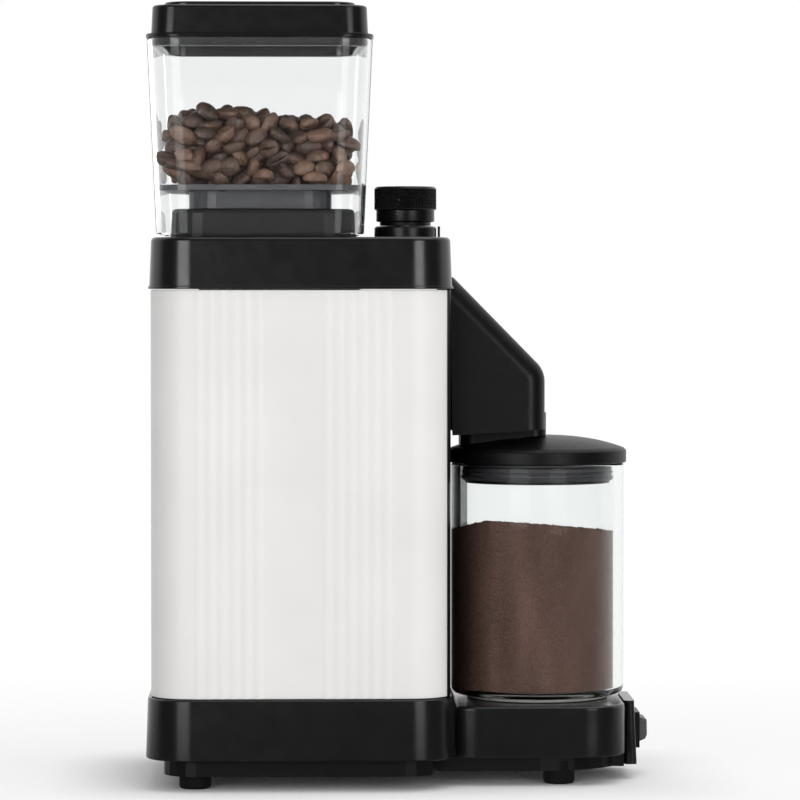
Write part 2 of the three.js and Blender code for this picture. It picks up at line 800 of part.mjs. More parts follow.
const rockerReach = bezelHalfZ - bezelRim - seam;
const rockerAngle = THREE.MathUtils.degToRad(rockerHalfThrow);
const rockerEnd = Math.hypot(rockerFace, rockerReach);
const rockerEndAngle = Math.atan2(rockerReach, rockerFace) - 2 * rockerAngle;
const fromPivot = (x, z) => point(rockerPivotX + x, rockerPivotZ + z);
piece(rockerBody, 'switch_rocker', greyRubber, sidePrism([
  fromPivot(-rockerStemDepth, -rockerStemHeight / 2),
  fromPivot(rockerFace, -rockerReach),
  fromPivot(rockerFace, -rockerFace * Math.tan(rockerAngle)),
  fromPivot(rockerEnd * Math.cos(rockerEndAngle), rockerEnd * Math.sin(rockerEndAngle)),
  fromPivot(-rockerStemDepth, rockerStemHeight / 2),
], -rockerWidth / 2, rockerWidth / 2));

// Top cap, and the upstand on it that the hopper fits over
const collarLevels = [
  { z: capTopZ + seam, outline: square(collarX, collarSize, collarCorner) },
  ...edged((grow) => square(collarX, collarSize - collarTaper + 2 * grow, collarCorner + grow),
    collarTopZ, capEdge),
];
const collarInside = square(collarX, collarSize - collarTaper - 2 * moulding, collarCorner - moulding);
const throatHole = rod(burrX, 0, throatRadius + throatWall + seam, capZ, collarTopZ + overrun, roundSteps);
piece(housing, 'top_cap', glossBlack, cut(
  loft([
    { z: capZ, outline: towerOutline(capLipProud) },
    { z: capZ + capLipHeight, outline: towerOutline(capLipProud) },
    { z: capZ + capLipHeight, outline: towerOutline(capProudBottom) },
    ...edged((grow) => towerOutline(capProudTop + grow), capTopZ, capEdge),
  ]),
  prism(towerOutline(capProudTop - moulding), capZ - overrun, capTopZ - plateWall),
  throatHole,
  rod(knobX, 0, spindleRadius + seam, capZ, capTopZ + overrun),
));
piece(housing, 'hopper_seat', glossBlack, cut(
  loft(collarLevels),
  prism(collarInside, capTopZ - overrun, collarTopZ - plateWall),
  throatHole,
));

// Hopper: a clear tapered shell, and the floor that funnels the beans into its throat
const hopperTaper = (hopperTopSize - hopperBottomSize) / hopperHeight;
const hopperSize = (z) => hopperBottomSize + hopperTaper * (z - hopperZ);
const hopperOutline = (z, grow) => square(hopperX, hopperSize(z) + 2 * grow, hopperCorner + grow);
piece(hopperBody, 'hopper', clearPlastic, cut(
  loft([
    { z: hopperZ, outline: hopperOutline(hopperZ, 0) },
    ...edged((grow) => hopperOutline(hopperTopZ, grow), hopperTopZ, hopperEdge),
  ]),
  loft([
    { z: hopperZ - overrun, outline: hopperOutline(hopperZ - overrun, -hopperWall) },
    { z: hopperTopZ + overrun, outline: hopperOutline(hopperTopZ + overrun, -hopperWall) },
  ]),
));

const floorZ = collarTopZ + floorRise;
const floorTopZ = floorZ + floorThickness;
const throatOuter = throatRadius + throatWall;
piece(hopperBody, 'hopper_floor', darkGrey, cut(
  join(
    prism(hopperOutline(floorZ, -hopperWall - seam), floorZ, floorTopZ),
    prism(square(hopperX, funnelSize, funnelCorner), collarTopZ + seam, floorZ + floorThickness / 2),
    rod(burrX, 0, throatOuter, throatZ, floorZ, roundSteps),
  ),
  turned(burrX, 0, [
    [0, throatZ - overrun],
    [throatRadius, throatZ - overrun],
    [throatRadius, collarTopZ],
    [funnelMouthRadius, floorTopZ],
    [funnelMouthRadius, floorTopZ + overrun],
    [0, floorTopZ + overrun],
  ]),
));

// Hopper lid: flange, body, raised panel and a plug with its gasket
const plugOutline = (grow) => square(hopperX, hopperTopSize - 2 * (hopperWall + lidPlugGap - grow),
  hopperCorner - hopperWall + grow);
const lidBodyZ = lidZ + lidFlangeHeight;
const lidTopZ = lidBodyZ + lidHeight;
const lidPanelZ = lidTopZ + lidPanelHeight;
const gasketZ = lidZ - lidPlugHeight + gasketRise;
const gasketTopZ = gasketZ + gasketHeight;
piece(hopperBody, 'hopper_lid', glossBlack, cut(
  join(
    prism(plugOutline(0), lidZ - lidPlugHeight, lidZ),
    prism(square(hopperX, hopperTopSize + 2 * lidFlangeProud, hopperCorner), lidZ, lidBodyZ),
    loft([
      { z: lidBodyZ, outline: square(hopperX, lidSizeBottom, lidCorner) },
      ...edged((grow) => square(hopperX, lidSizeTop + 2 * grow, lidCorner + grow), lidTopZ, lidEdge),
    ]),
    loft([
      { z: lidTopZ - lidEdge, outline: square(hopperX, lidPanelSize, lidCorner) },
      ...edged((grow) => square(hopperX, lidPanelSize + 2 * grow, lidCorner + grow),
        lidPanelZ, lidPanelHeight / 2),
    ]),
  ),
  prism(plugOutline(-gasketGroove - moulding), lidZ - lidPlugHeight - overrun, lidTopZ - plateWall),
  cut(
    prism(plugOutline(overrun), gasketZ - seam, gasketTopZ + seam),
    prism(plugOutline(-gasketGroove), gasketZ - overrun, gasketTopZ + overrun),
  ),
));
piece(hopperBody, 'lid_gasket', greyRubber, prism(
  plugOutline(gasketProud), gasketZ, gasketTopZ, [plugOutline(-gasketGroove + seam)]));

// Knob, its collar on the cap, and the pointer beside it
const knobCollarZ = capTopZ + seam;
const knobZ = knobCollarZ + knobCollarHeight + seam;
const knobSkirtZ = knobZ + knobNeckHeight;
const knobCapZ = knobSkirtZ + knobSkirtHeight;
const knobTopZ = knobCapZ + knobCapHeight;
const spindleTopZ = knobZ + spindleInKnob;
const spindleBore = spindleRadius + seam;
const knurlOutline = times(2 * knurlCount, (i) => {
  const radius = knobRadius - (i % 2) * knurlDepth;
  const angle = i * Math.PI / knurlCount;
  return point(knobX + radius * Math.cos(angle), radius * Math.sin(angle));
});
piece(mechanism, 'knob', anodised, join(
  turned(knobX, 0, [
    [spindleBore, knobZ],
    [knobNeckRadius, knobZ],
    [knobNeckRadius, knobSkirtZ],
    [knobSkirtRadius, knobSkirtZ],
    [knobSkirtRadius, knobCapZ],
    [knobRadius - knurlDepth, knobCapZ],
    [knobRadius - knurlDepth, knobTopZ - knobEdge],
    [knobRadius - knurlDepth - knobEdge, knobTopZ],
    [0, knobTopZ],
    [0, spindleTopZ + seam],
    [spindleBore, spindleTopZ + seam],
  ]),
  cut(
    prism(knurlOutline, knobCapZ + knobEdge, knobTopZ - knobEdge),
    rod(knobX, 0, knobNeckRadius, knobCapZ, knobTopZ),
  ),
));
piece(housing, 'knob_collar', anodised, turned(knobX, 0, [
  [spindleBore, knobCollarZ],
  [knobCollarRadius, knobCollarZ],
  [knobCollarRadius, knobCollarZ + knobCollarHeight - knobEdge],
  [knobCollarRadius - knobEdge, knobCollarZ + knobCollarHeight],
  [spindleBore, knobCollarZ + knobCollarHeight],
]));
const pointerX = knobX + knobCollarRadius + pointerGap;
piece(housing, 'grind_pointer', glossBlack, block(pointerX, pointerX + pointerThickness,
  -pointerWidth / 2, pointerWidth / 2, knobCollarZ, knobCollarZ + knobCollarHeight));

const gearZ = flangeTopZ + seam;
const spindleZ = flangeTopZ - spindleFoot;
piece(mechanism, 'knob_spindle', turnedSteel, rod(knobX, 0, spindleRadius, spindleZ, spindleTopZ));
const circle = (radius, steps) => times(steps, (i) => {
  const angle = i * 2 * Math.PI / steps;
  return point(radius * Math.cos(angle), radius * Math.sin(angle));
});
piece(mechanism, 'knob_pinion', nylon, prism(
  shifted(gearOutline(pinionTeeth, 0), knobX), gearZ, gearZ + ringHeight,
  [shifted(circle(spindleBore, smallSteps), knobX)]));
piece(mechanism, 'adjusting_ring', nylon, prism(
  shifted(gearOutline(ringTeeth, Math.PI / ringTeeth), burrX), gearZ, gearZ + ringHeight,
  [shifted(circle(threadRadius + seam, roundSteps), burrX)]));

// Grinding chamber: a cast cup with a flange, a spout to the front and a bearing boss below
const aroundBurr = (turn, shape) =>
  shape.translate([-burrX, 0, 0]).rotate([0, 0, turn]).translate([burrX, 0, 0]);
const ringOf = (count, start, make) => times(count, (i) => aroundBurr(start + 360 * i / count, make()));
const keyStart = 180 / keyCount;
const keyZ = carrierZ + keyLift;
const undersideZ = chamberFloorZ - chamberFloor;
const flangeZ = flangeTopZ - flangeThickness;
const keyTool = (clearance, top) => block(
  burrX + threadRadius - keyReach, burrX + threadRadius + keyReach + clearance,
  -keyWidth / 2 - clearance, keyWidth / 2 + clearance, keyZ - 2 * clearance, top);
piece(housing, 'burr_housing', castAluminium, cut(
  join(
    rod(burrX, 0, chamberRadius + chamberWall, undersideZ, flangeTopZ, roundSteps),
    rod(burrX, 0, flangeRadius, flangeZ, flangeTopZ, roundSteps),
    rod(knobX, 0, lobeRadius, flangeZ, flangeTopZ),
    block(burrX + threadRadius, knobX, -lobeRadius, lobeRadius, flangeZ, flangeTopZ),
    rod(burrX, 0, bearingRadius + seam + bossWall, bossZ, chamberFloorZ),
    block(burrX + threadRadius, front, -spoutHalf - moulding, spoutHalf + moulding,
      chamberFloorZ - moulding, spoutTopZ + moulding),
  ),
  rod(burrX, 0, chamberRadius, chamberFloorZ, flangeTopZ + overrun, roundSteps),
  rod(burrX, 0, bearingRadius + seam, bossZ - overrun, bossZ + bearingHeight + seam),
  rod(burrX, 0, shaftRadius + 2 * seam, bossZ, chamberFloorZ + overrun),
  block(burrX + threadRadius - overrun, front + overrun, -spoutHalf, spoutHalf, chamberFloorZ, spoutTopZ),
  rod(knobX, 0, spindleBore, spindleZ - seam, flangeTopZ + overrun),
  ...ringOf(keyCount, keyStart, () => keyTool(seam, flangeTopZ + overrun)),
));

// Upper burr carrier: its thread runs in the toothed ring, and keys keep it from turning
piece(mechanism, 'upper_burr_carrier', castAluminium, join(
  turned(burrX, 0, [
    [burrBore, carrierZ],
    [threadRadius, carrierZ],
    [threadRadius, carrierTopZ],
    [carrierMouthRadius, carrierTopZ],
    [burrBore, carrierZ + keyHeight],
  ]),
  ...ringOf(keyCount, keyStart, () => cut(
    keyTool(0, keyZ + keyHeight),
    rod(burrX, 0, threadRadius - 2 * seam, carrierZ, carrierTopZ, roundSteps),
  )),
));

// Flat burrs: a dished ring with slanting breakers inside and fine teeth on the rim
function burr(bore, faceZ, up) {
  const z = (height) => faceZ + (up ? -height : height);
  const rim = burrRadius - burrRimWidth;
  const groove = (r0, r1, width, depth, slant) => {
    const [low, high] = [z(-overrun), z(depth)].sort((a, b) => a - b);
    return block(burrX + r0, burrX + r1, slant, slant + width, low, high);
  };
  return cut(
    turned(burrX, 0, [
      [bore, z(burrDish)],
      [rim, z(0)],
      [burrRadius, z(0)],
      [burrRadius, z(burrThickness)],
      [bore, z(burrThickness)],
    ]),
    ...ringOf(breakerCount, 0, () =>
      groove(bore - breakerWidth, rim - toothWidth, breakerWidth, burrDish + breakerDepth, breakerWidth)),
    ...ringOf(toothCount, 180 / toothCount, () =>
      groove(rim + toothWidth, burrRadius + overrun, toothWidth, toothDepth, 2 * toothWidth)),
  );
}
piece(mechanism, 'upper_burr', burrSteel, burr(burrBore, upperBurrZ, false));
piece(mechanism, 'lower_burr', burrSteel, burr(discHubRadius + seam, lowerBurrZ + burrThickness, true));

// Rotor: grinding disc with sweeper vanes, nut, shaft, fan and motor core
const shaftBore = shaftRadius + seam;
const hubTopZ = discZ + discHeight + discHubHeight;
const shaftTopZ = hubTopZ + nutHeight - nutTop;
piece(mechanism, 'grinding_disc', castAluminium, cut(
  join(
    rod(burrX, 0, discRadius, discZ, discZ + discHeight, roundSteps),
    rod(burrX, 0, discHubRadius, discZ, hubTopZ),
    ...ringOf(vaneCount, 0, () => block(burrX + discHubRadius, burrX + chamberRadius - vaneGap,
      -vaneWidth / 2, vaneWidth / 2, discZ, discZ + discHeight)),
  ),
  rod(burrX, 0, shaftBore, discZ - overrun, hubTopZ + overrun),
));
piece(mechanism, 'burr_nut', turnedSteel, cut(
  rod(burrX, 0, nutRadius, hubTopZ + seam, hubTopZ + seam + nutHeight, 2 * keyCount),
  rod(burrX, 0, shaftBore, hubTopZ, shaftTopZ + seam),
));
piece(mechanism, 'motor_shaft', turnedSteel, rod(burrX, 0, shaftRadius, endCapZ - shaftBelowCap, shaftTopZ));

const statorTopZ = canTopZ - statorDrop;
const statorZ = statorTopZ - statorHeight;
piece(mechanism, 'rotor_core', turnedSteel, turned(burrX, 0, [
  [shaftBore, statorZ - rotorOver],
  [statorBore - rotorAirGap, statorZ - rotorOver],
  [statorBore - rotorAirGap, statorTopZ + rotorOver],
  [shaftBore, statorTopZ + rotorOver],
]));
const fanZ = canTopZ - fanDrop - fanBladeHeight - fanDisc;
const fanTopZ = fanZ + fanDisc + fanBladeHeight;
piece(mechanism, 'cooling_fan', nylon, cut(
  join(
    rod(burrX, 0, fanRadius, fanZ, fanZ + fanDisc, roundSteps),
    rod(burrX, 0, fanHubRadius, fanZ, fanTopZ),
    ...ringOf(bladeCount, 0, () => block(
      burrX + fanHubRadius - fanBladeWidth, burrX + fanRadius - fanBladeWidth,
      -fanBladeWidth / 2, fanBladeWidth / 2, fanZ, fanTopZ)),
  ),
  rod(burrX, 0, shaftBore, fanZ - overrun, fanTopZ + overrun),
));

// Motor: can, stator, end cap and two bearings, hung from a plate on four posts
piece(housing, 'motor_can', turnedSteel, turned(burrX, 0, [
  [motorPlateHole, canTopZ - plateWall],
  [canRadius - canWall, canTopZ - plateWall],
  [canRadius - canWall, canZ],
  [canRadius, canZ],
  [canRadius, canTopZ],
  [motorPlateHole, canTopZ],
]));
piece(housing, 'motor_stator', darkGrey, turned(burrX, 0, [
  [statorBore, statorZ],
  [canRadius - canWall - seam, statorZ],
  [canRadius - canWall - seam, statorTopZ],
  [statorBore, statorTopZ],
]));
const bearing = (z) => turned(burrX, 0, [
  [shaftBore, z],
  [bearingRadius, z],
  [bearingRadius, z + bearingHeight],
  [shaftBore, z + bearingHeight],
], smallSteps);
const lowerBearingZ = endCapZ + endCapThickness / 2;
const endCapTopZ = endCapZ + endCapThickness;
piece(housing, 'upper_bearing', turnedSteel, bearing(bossZ));
piece(housing, 'lower_bearing', turnedSteel, bearing(lowerBearingZ));
piece(housing, 'motor_end_cap', castAluminium, cut(
  join(
    rod(burrX, 0, canRadius, endCapZ, endCapTopZ, roundSteps),
    rod(burrX, 0, bearingRadius + seam + bossWall, endCapZ, endCapTopZ + endCapBossHeight),
  ),
  rod(burrX, 0, bearingRadius + seam, lowerBearingZ - seam, endCapTopZ + endCapBossHeight + overrun),
  rod(burrX, 0, shaftRadius + 2 * seam, endCapZ - overrun, lowerBearingZ),
  ...ringOf(endCapVentCount, 0, () => rod(burrX + endCapVentCircle, 0, endCapVentRadius,
    endCapZ - overrun, endCapTopZ + overrun, smallSteps / 2)),
));
piece(housing, 'motor_plate', turnedSteel, cut(
  prism(square(burrX, motorPlateSize, motorPlateCorner), motorPlateZ, motorPlateZ + motorPlateThickness),
  rod(burrX, 0, motorPlateHole, motorPlateZ - overrun, motorPlateZ + motorPlateThickness + overrun),
));
[
  ['frame_post_rear_right', -1, -1],
  ['frame_post_rear_left', -1, 1],
  ['frame_post_front_right', 1, -1],
  ['frame_post_front_left', 1, 1],
].forEach(([name, sideX, sideY]) => piece(housing, name, turnedSteel, rod(
  burrX + sideX * postReach, sideY * postReach, postRadius, deckTopZ + seam, motorPlateZ - seam,
  2 * cornerSteps)));

// Chute: a wedge-shaped hood on the front panel, and the outlet that ends just over the jar lid
const chuteTopZ = capZ + chuteTopAboveCap;
const chuteFall = chuteTopZ - chuteZ - chuteFrontHeight;
const chuteSlope = chuteFall / (chuteFrontX - chuteTopX);
const chuteBottomAt = (x) => chuteZ + chuteBottomRise * (x - front) / (chuteFrontX - front);

// Arc of a given radius in the corner between two straight lines
function bend(before, corner, after, radius) {
  const inward = before.clone().sub(corner).normalize();
  const outward = after.clone().sub(corner).normalize();
  const half = Math.acos(inward.dot(outward)) / 2;
  const middle = inward.clone().add(outward).normalize()
    .multiplyScalar(radius / Math.sin(half)).add(corner);
  const start = inward.multiplyScalar(radius / Math.tan(half)).add(corner).sub(middle).angle();
  const end = outward.multiplyScalar(radius / Math.tan(half)).add(corner).sub(middle).angle();
  let sweep = end - start;
  if (sweep > Math.PI) sweep -= 2 * Math.PI;
  if (sweep < -Math.PI) sweep += 2 * Math.PI;
  return times(cornerSteps + 1, (i) => {
    const angle = start + sweep * i / cornerSteps;
    return point(middle.x + radius * Math.cos(angle), middle.y + radius * Math.sin(angle));
  });
}

function chuteWedge(inset) {
  const frontX = chuteFrontX - inset;
  const rearX = front - overrun;
  const low = chuteZ - overrun;
  const topAt = (x) => chuteTopZ - inset * Math.hypot(1, chuteSlope) - chuteSlope * (x - chuteTopX);
  const rearTop = point(rearX, topAt(rearX));
  const shape = new THREE.Shape([
    rearTop,
    ...bend(rearTop, point(frontX, topAt(frontX)), point(frontX, low), chuteBend - inset),
    point(frontX, low),
    point(rearX, low),
  ]);
  const edge = chuteEdge - inset;
  const depth = chuteWidth - 2 * inset - 2 * edge;
  const geometry = new THREE.ExtrudeGeometry(shape, {
    depth, bevelThickness: edge, bevelSize: edge, bevelOffset: -edge, bevelSegments: chuteEdgeSteps,
  });
  geometry.rotateX(Math.PI / 2);
  geometry.translate(0, depth / 2, 0);
  return solid(geometry);
}

piece(housing, 'chute_housing', mattBlack, cut(
  chuteWedge(0),
  chuteWedge(moulding),
  block(0, front + seam, -chuteWidth, chuteWidth, 0, chuteTopZ + chuteWidth),
  block(0, front + capLipProud + seam, -chuteWidth, chuteWidth, shellTopZ - seam, chuteTopZ + chuteWidth),
  sidePrism([
    point(0, 0),
    point(chuteFrontX + chuteWidth, 0),
    point(chuteFrontX + chuteWidth, chuteBottomAt(chuteFrontX + chuteWidth)),
    point(front - overrun, chuteBottomAt(front - overrun)),
    point(0, chuteBottomAt(front - overrun)),
  ], -chuteWidth, chuteWidth),
));

// Dome of the jar's lid, from its rim inwards
const jarRimTopZ = jarLidZ + jarLidRim;
const jarLidRadius = jarRadius + jarLidProud;
const domeBall = (jarLidRadius ** 2 + jarLidDome ** 2) / (2 * jarLidDome);
const domeAt = (r) => jarLidTopZ - domeBall + Math.sqrt(domeBall ** 2 - r ** 2);
const dome = (grow) => times(domeSteps + 1, (i) => {
  const r = jarLidRadius * (1 - i / domeSteps);
  return [r, domeAt(r) + grow];
});
const holeX = jarX - lidHoleRearward;
const outletInnerX = chuteFrontX - moulding - seam;
const outletZ = jarRimTopZ + outletGap;
const outletTopZ = chuteBottomAt(chuteFrontX) + outletInside;
piece(housing, 'chute_outlet', mattBlack, cut(
  join(
    sidePrism([
      point(outletRearX, outletZ),
      point(outletFrontX, outletZ),
      point(outletFrontX, chuteBottomAt(outletFrontX) - seam),
      point(outletRearX, chuteBottomAt(outletRearX) - seam),
    ], -outletHalfWidth, outletHalfWidth),
    block(outletRearX, outletInnerX, -outletHalfWidth, outletHalfWidth, outletZ, outletTopZ),
  ),
  turned(jarX, 0, [
    [0, jarLidZ - overrun],
    [jarLidRadius + outletGap, jarLidZ - overrun],
    [jarLidRadius + outletGap, jarRimTopZ + outletGap],
    ...dome(outletGap),
  ]),
  loft([
    { z: jarLidZ - overrun, outline: square(holeX, outletMouthSize, outletCorner) },
    { z: chuteZ, outline: square(holeX, outletMouthSize, outletCorner) },
    { z: outletTopZ + seam, outline: rounded((outletRearX + outletInnerX) / 2, 0,
      outletTopLength, outletTopWidth, outletCorner) },
  ]),
));

// Jar: thick glass with a rounded heel
const quarter = (r, z, radius, from, to) => times(heelSteps + 1, (i) => {
  const angle = from + (to - from) * i / heelSteps;
  return [r + radius * Math.cos(angle), z + radius * Math.sin(angle)];
});
const jarInner = jarRadius - jarWall;
piece(jarBody, 'jar', clearGlass, turned(jarX, 0, [
  [0, jarZ],
  ...quarter(jarRadius - jarHeel, jarZ + jarHeel, jarHeel, -Math.PI / 2, 0),
  ...quarter(jarRadius - jarLipRadius, jarTopZ - jarLipRadius, jarLipRadius, 0, Math.PI / 2),
  [jarInner, jarTopZ],
  ...quarter(jarInner - jarHeelInside, jarZ + jarFloor + jarHeelInside, jarHeelInside, 0, -Math.PI / 2),
  [0, jarZ + jarFloor],
]));

// Jar lid with a hole under the chute, and the soft seal round its plug
const plugRadius = jarInner - plugGap;
const plugZ = jarLidZ - plugDepth;
const ledgeTopZ = plugZ + sealLedge;
piece(jarBody, 'jar_lid', mattBlack, cut(
  turned(jarX, 0, [
    [0, plugZ],
    [plugRadius + sealLedge, plugZ],
    [plugRadius + sealLedge, ledgeTopZ],
    [plugRadius, ledgeTopZ],
    [plugRadius, jarLidZ],
    [jarLidRadius, jarLidZ],
    ...dome(0),
  ]),
  turned(jarX, 0, [
    [0, plugZ - overrun],
    [plugRadius - plugWall, plugZ - overrun],
    [plugRadius - plugWall, domeAt(plugRadius) - jarLidWall],
    [0, jarLidTopZ - jarLidWall],
  ]),
  rod(holeX, 0, lidHoleRadius, plugZ, jarLidTopZ + overrun),
));
const sealZ = ledgeTopZ + seam;
const sealRadius = jarInner - seam;
piece(jarBody, 'jar_seal', greyRubber, turned(jarX, 0, [
  [plugRadius + seam, sealZ],
  [sealRadius - sealLip, sealZ],
  [sealRadius, sealZ + sealHeight / 4],
  [sealRadius - sealLip, sealZ + sealHeight / 2],
  [sealRadius, sealZ + 3 * sealHeight / 4],
  [sealRadius - sealLip, sealZ + sealHeight],
  [plugRadius + seam, sealZ + sealHeight],
]));

// The object stands at the middle of its own footprint
const extent = new THREE.Box3().setFromObject(grinder);
grinder.position.x = -(extent.min.x + extent.max.x) / 2;

export default grinder;
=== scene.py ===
"""Burr coffee grinder: a ribbed white tower with a clear bean hopper, a chute and a glass jar.

Sizes are millimetres from the middle of the tower, and place() turns them to metres in the
model's frame. Each piece is a surface worked out on a grid, or a profile carried round an
outline, and each finish is named for what the real one is made of.
"""

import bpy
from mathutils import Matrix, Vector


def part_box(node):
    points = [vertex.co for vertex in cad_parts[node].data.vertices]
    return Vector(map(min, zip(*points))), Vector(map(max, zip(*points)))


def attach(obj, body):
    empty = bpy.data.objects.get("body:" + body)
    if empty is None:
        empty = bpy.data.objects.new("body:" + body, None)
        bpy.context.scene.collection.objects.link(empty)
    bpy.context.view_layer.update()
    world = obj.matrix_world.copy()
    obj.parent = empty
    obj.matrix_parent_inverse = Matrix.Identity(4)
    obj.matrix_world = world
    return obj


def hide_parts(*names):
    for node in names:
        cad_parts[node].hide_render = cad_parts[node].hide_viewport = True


bl_info = {
    "name": "Burr Coffee Grinder",
    "version": (1, 0, 0),
    "blender": (4, 5, 0),
    "location": "View3D > Sidebar > Grinder",
    "description": "Builds a burr coffee grinder and its studio around a packed frame",
    "category": "Add Mesh",
}

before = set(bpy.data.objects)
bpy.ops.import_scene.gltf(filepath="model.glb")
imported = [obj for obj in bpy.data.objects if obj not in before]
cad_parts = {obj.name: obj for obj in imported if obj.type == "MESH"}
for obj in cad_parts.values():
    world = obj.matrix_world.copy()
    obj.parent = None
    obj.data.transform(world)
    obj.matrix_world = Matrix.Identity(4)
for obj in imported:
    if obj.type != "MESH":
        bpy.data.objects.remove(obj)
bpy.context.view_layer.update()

import math

import bmesh
import bpy
import numpy as np
from mathutils import Vector

MM = 0.001
TAU = 2 * math.pi


def middle(node, axis):
    """Middle of a node's box along one axis, in millimetres."""
    low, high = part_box(node)
    return (low[axis] + high[axis]) / 2 / MM


TOWER_X = middle("base_skirt", 0)


def low(node, axis=2):
    """Low side of a node's box in millimetres, counted from the middle of the tower."""
    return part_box(node)[0][axis] / MM - (TOWER_X if axis == 0 else 0)


def high(node, axis=2):
    """High side of a node's box in millimetres, counted from the middle of the tower."""
    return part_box(node)[1][axis] / MM - (TOWER_X if axis == 0 else 0)


def mid(node, axis=0):
    """Middle of a node's box in millimetres, counted from the middle of the tower."""
    return (low(node, axis) + high(node, axis)) / 2


def half_width(node):
    """Half of a node's length along X, in millimetres."""
    return (high(node, 0) - low(node, 0)) / 2


# Sizes and colours that a user would change


def size(name, description, default, **limits):
    """A length in millimetres that the sidebar shows."""
    return bpy.props.FloatProperty(name=name, description=description, default=default, **limits)


def colour(name, description, default):
    """A colour as sRGB hex text, which linear() turns to scene values."""
    return bpy.props.StringProperty(name=name, description=description, default=default, maxlen=7)


class GrinderBodySizes(bpy.types.PropertyGroup):
    """Tower, base, cap and tray."""

    corner: size("Tower corner", "Radius of the tower's upright corners, mm", 18.0, min=1)
    sheet: size("Sheet", "Thickness of the tower's steel sheet, mm", 1.6, min=0.5)
    rib_pitch: size("Rib pitch", "Distance between the pressed ribs, mm", 5.1, min=1)
    rib_rise: size("Rib rise", "Height of a pressed rib, mm", 0.5, min=0)
    ribs: bpy.props.IntProperty(name="Ribs", description="Ribs in each group", default=6, min=1)
    rear_ribs: size("Rear ribs", "Middle of the rear group of ribs, mm", -30.8)
    front_ribs: size("Front ribs", "Middle of the front group of ribs, mm", 23.8)
    enamel: colour("Enamel", "White powder coat of the tower", "#DDDCDA")
    gloss: colour("Gloss black", "Polished black plastic of cap, base and tray", "#111112")


class GrinderHopperSizes(bpy.types.PropertyGroup):
    """Hopper, lid, floor and the beans in it."""

    wall: size("Wall", "Thickness of the clear hopper, mm", 2.0, min=0.5)
    corner: size("Hopper corner", "Radius of the hopper's upright corners, mm", 15.0, min=1)
    lid_corner: size("Lid corner", "Radius of the lid's upright corners, mm", 10, min=1)
    clear: colour("Clear plastic", "Tint of the hopper's clear plastic", "#F7F8F8")
    beans: bpy.props.IntProperty(name="Beans", description="Beans that show", default=900, min=0)
    bean_length: size("Bean length", "Length of a roasted bean, mm", 11.5, min=2)
    filled: bpy.props.BoolProperty(name="Filled", description="Show coffee in hopper and jar",
                                   default=True)


class GrinderJarSizes(bpy.types.PropertyGroup):
    """Glass jar, its lid and the ground coffee."""

    wall: size("Glass", "Thickness of the jar's wall, mm", 4.0, min=1)
    heel: size("Heel", "Radius of the jar's rounded heel, mm", 3.0, min=0.5)
    fill: size("Fill", "Height of the ground coffee above the worktop, mm", 113.0, min=0)
    ground: colour("Ground coffee", "Ground roasted coffee", "#4C3832")


# Finishes


def linear(text):
    """Linear colour of an sRGB hex text: each channel is c / 12.92 below 0.04045, and
    ((c + 0.055) / 1.055) to the power 2.4 above it."""
    value = text.lstrip("#")
    channels = [int(value[i:i + 2], 16) / 255 for i in (0, 2, 4)]
    return [c / 12.92 if c <= 0.04045 else ((c + 0.055) / 1.055) ** 2.4 for c in channels] + [1.0]


def add(tree, kind, values=None, links=None, stops=(), **settings):
    """Adds one shader node, its kind named without the word ShaderNode: settings are its own
    options, values go straight on its sockets, links join other nodes' sockets to them, and
    stops are a ramp's (place, hex) pairs."""
    made = tree.nodes.new("ShaderNode" + kind)
    for key, value in settings.items():
        setattr(made, key, value)
    for key, value in (values or {}).items():
        made.inputs[key].default_value = value
    for key, source in (links or {}).items():
        tree.links.new(source, made.inputs[key])
    for i, (where, text) in enumerate(stops):
        ramp = made.color_ramp.elements
        stop = ramp[i] if i < len(ramp) else ramp.new(where)
        stop.position, stop.color = where, linear(text)
    return made


def finish(name, base, **values):
    """A new material with one Principled shader, and the tree and shader to add detail to."""
    material = bpy.data.materials.new(name)
    material.use_nodes = True
    tree = material.node_tree
    shader = tree.nodes["Principled BSDF"]
    shader.inputs["Base Color"].default_value = linear(base)
    for key, value in values.items():
        shader.inputs[key.replace("_", " ")].default_value = value
    material.diffuse_color = linear(base)
    return material, tree, shader


def pattern(tree, millimetres, stretch=(1, 1, 1), kind="TexNoise", **values):
    """A texture in object space whose features are about this many millimetres across."""
    where = add(tree, "TexCoord").outputs["Object"]
    placed = add(tree, "Mapping", {"Scale": stretch}, {"Vector": where}).outputs[0]
    return add(tree, kind, {"Scale": 1 / (millimetres * MM), **values}, {"Vector": placed})


def layer(tree, shader, shade=None, gloss=None, bumps=None):
    """Puts patterns on a shader: shade is (pattern, stops), gloss is (pattern, lowest, highest)
    roughness, and bumps is (pattern, height in millimetres, strength)."""
    if shade:
        ramp = add(tree, "ValToRGB", links={"Fac": shade[0].outputs[0]}, stops=shade[1])
        tree.links.new(ramp.outputs["Color"], shader.inputs["Base Color"])
    if gloss:
        spread = add(tree, "MapRange", {"From Min": 0.3, "From Max": 0.7,
                     "To Min": gloss[1], "To Max": gloss[2]}, {"Value": gloss[0].outputs[0]})
        tree.links.new(spread.outputs["Result"], shader.inputs["Roughness"])
    if bumps:
        bump = add(tree, "Bump", {"Strength": bumps[2], "Distance": bumps[1] * MM},
                   {"Height": bumps[0].outputs[0]})
        tree.links.new(bump.outputs["Normal"], shader.inputs["Normal"])


def show_either(tree, share, shader, other):
    """Sends one shader to the output where share is 0, and the other where it is 1."""
    mixed = add(tree, "MixShader",
                links={0: share, 1: shader.outputs[0], 2: other.outputs[0]})
    out = next(n for n in tree.nodes if n.type == "OUTPUT_MATERIAL")
    tree.links.new(mixed.outputs[0], out.inputs["Surface"])


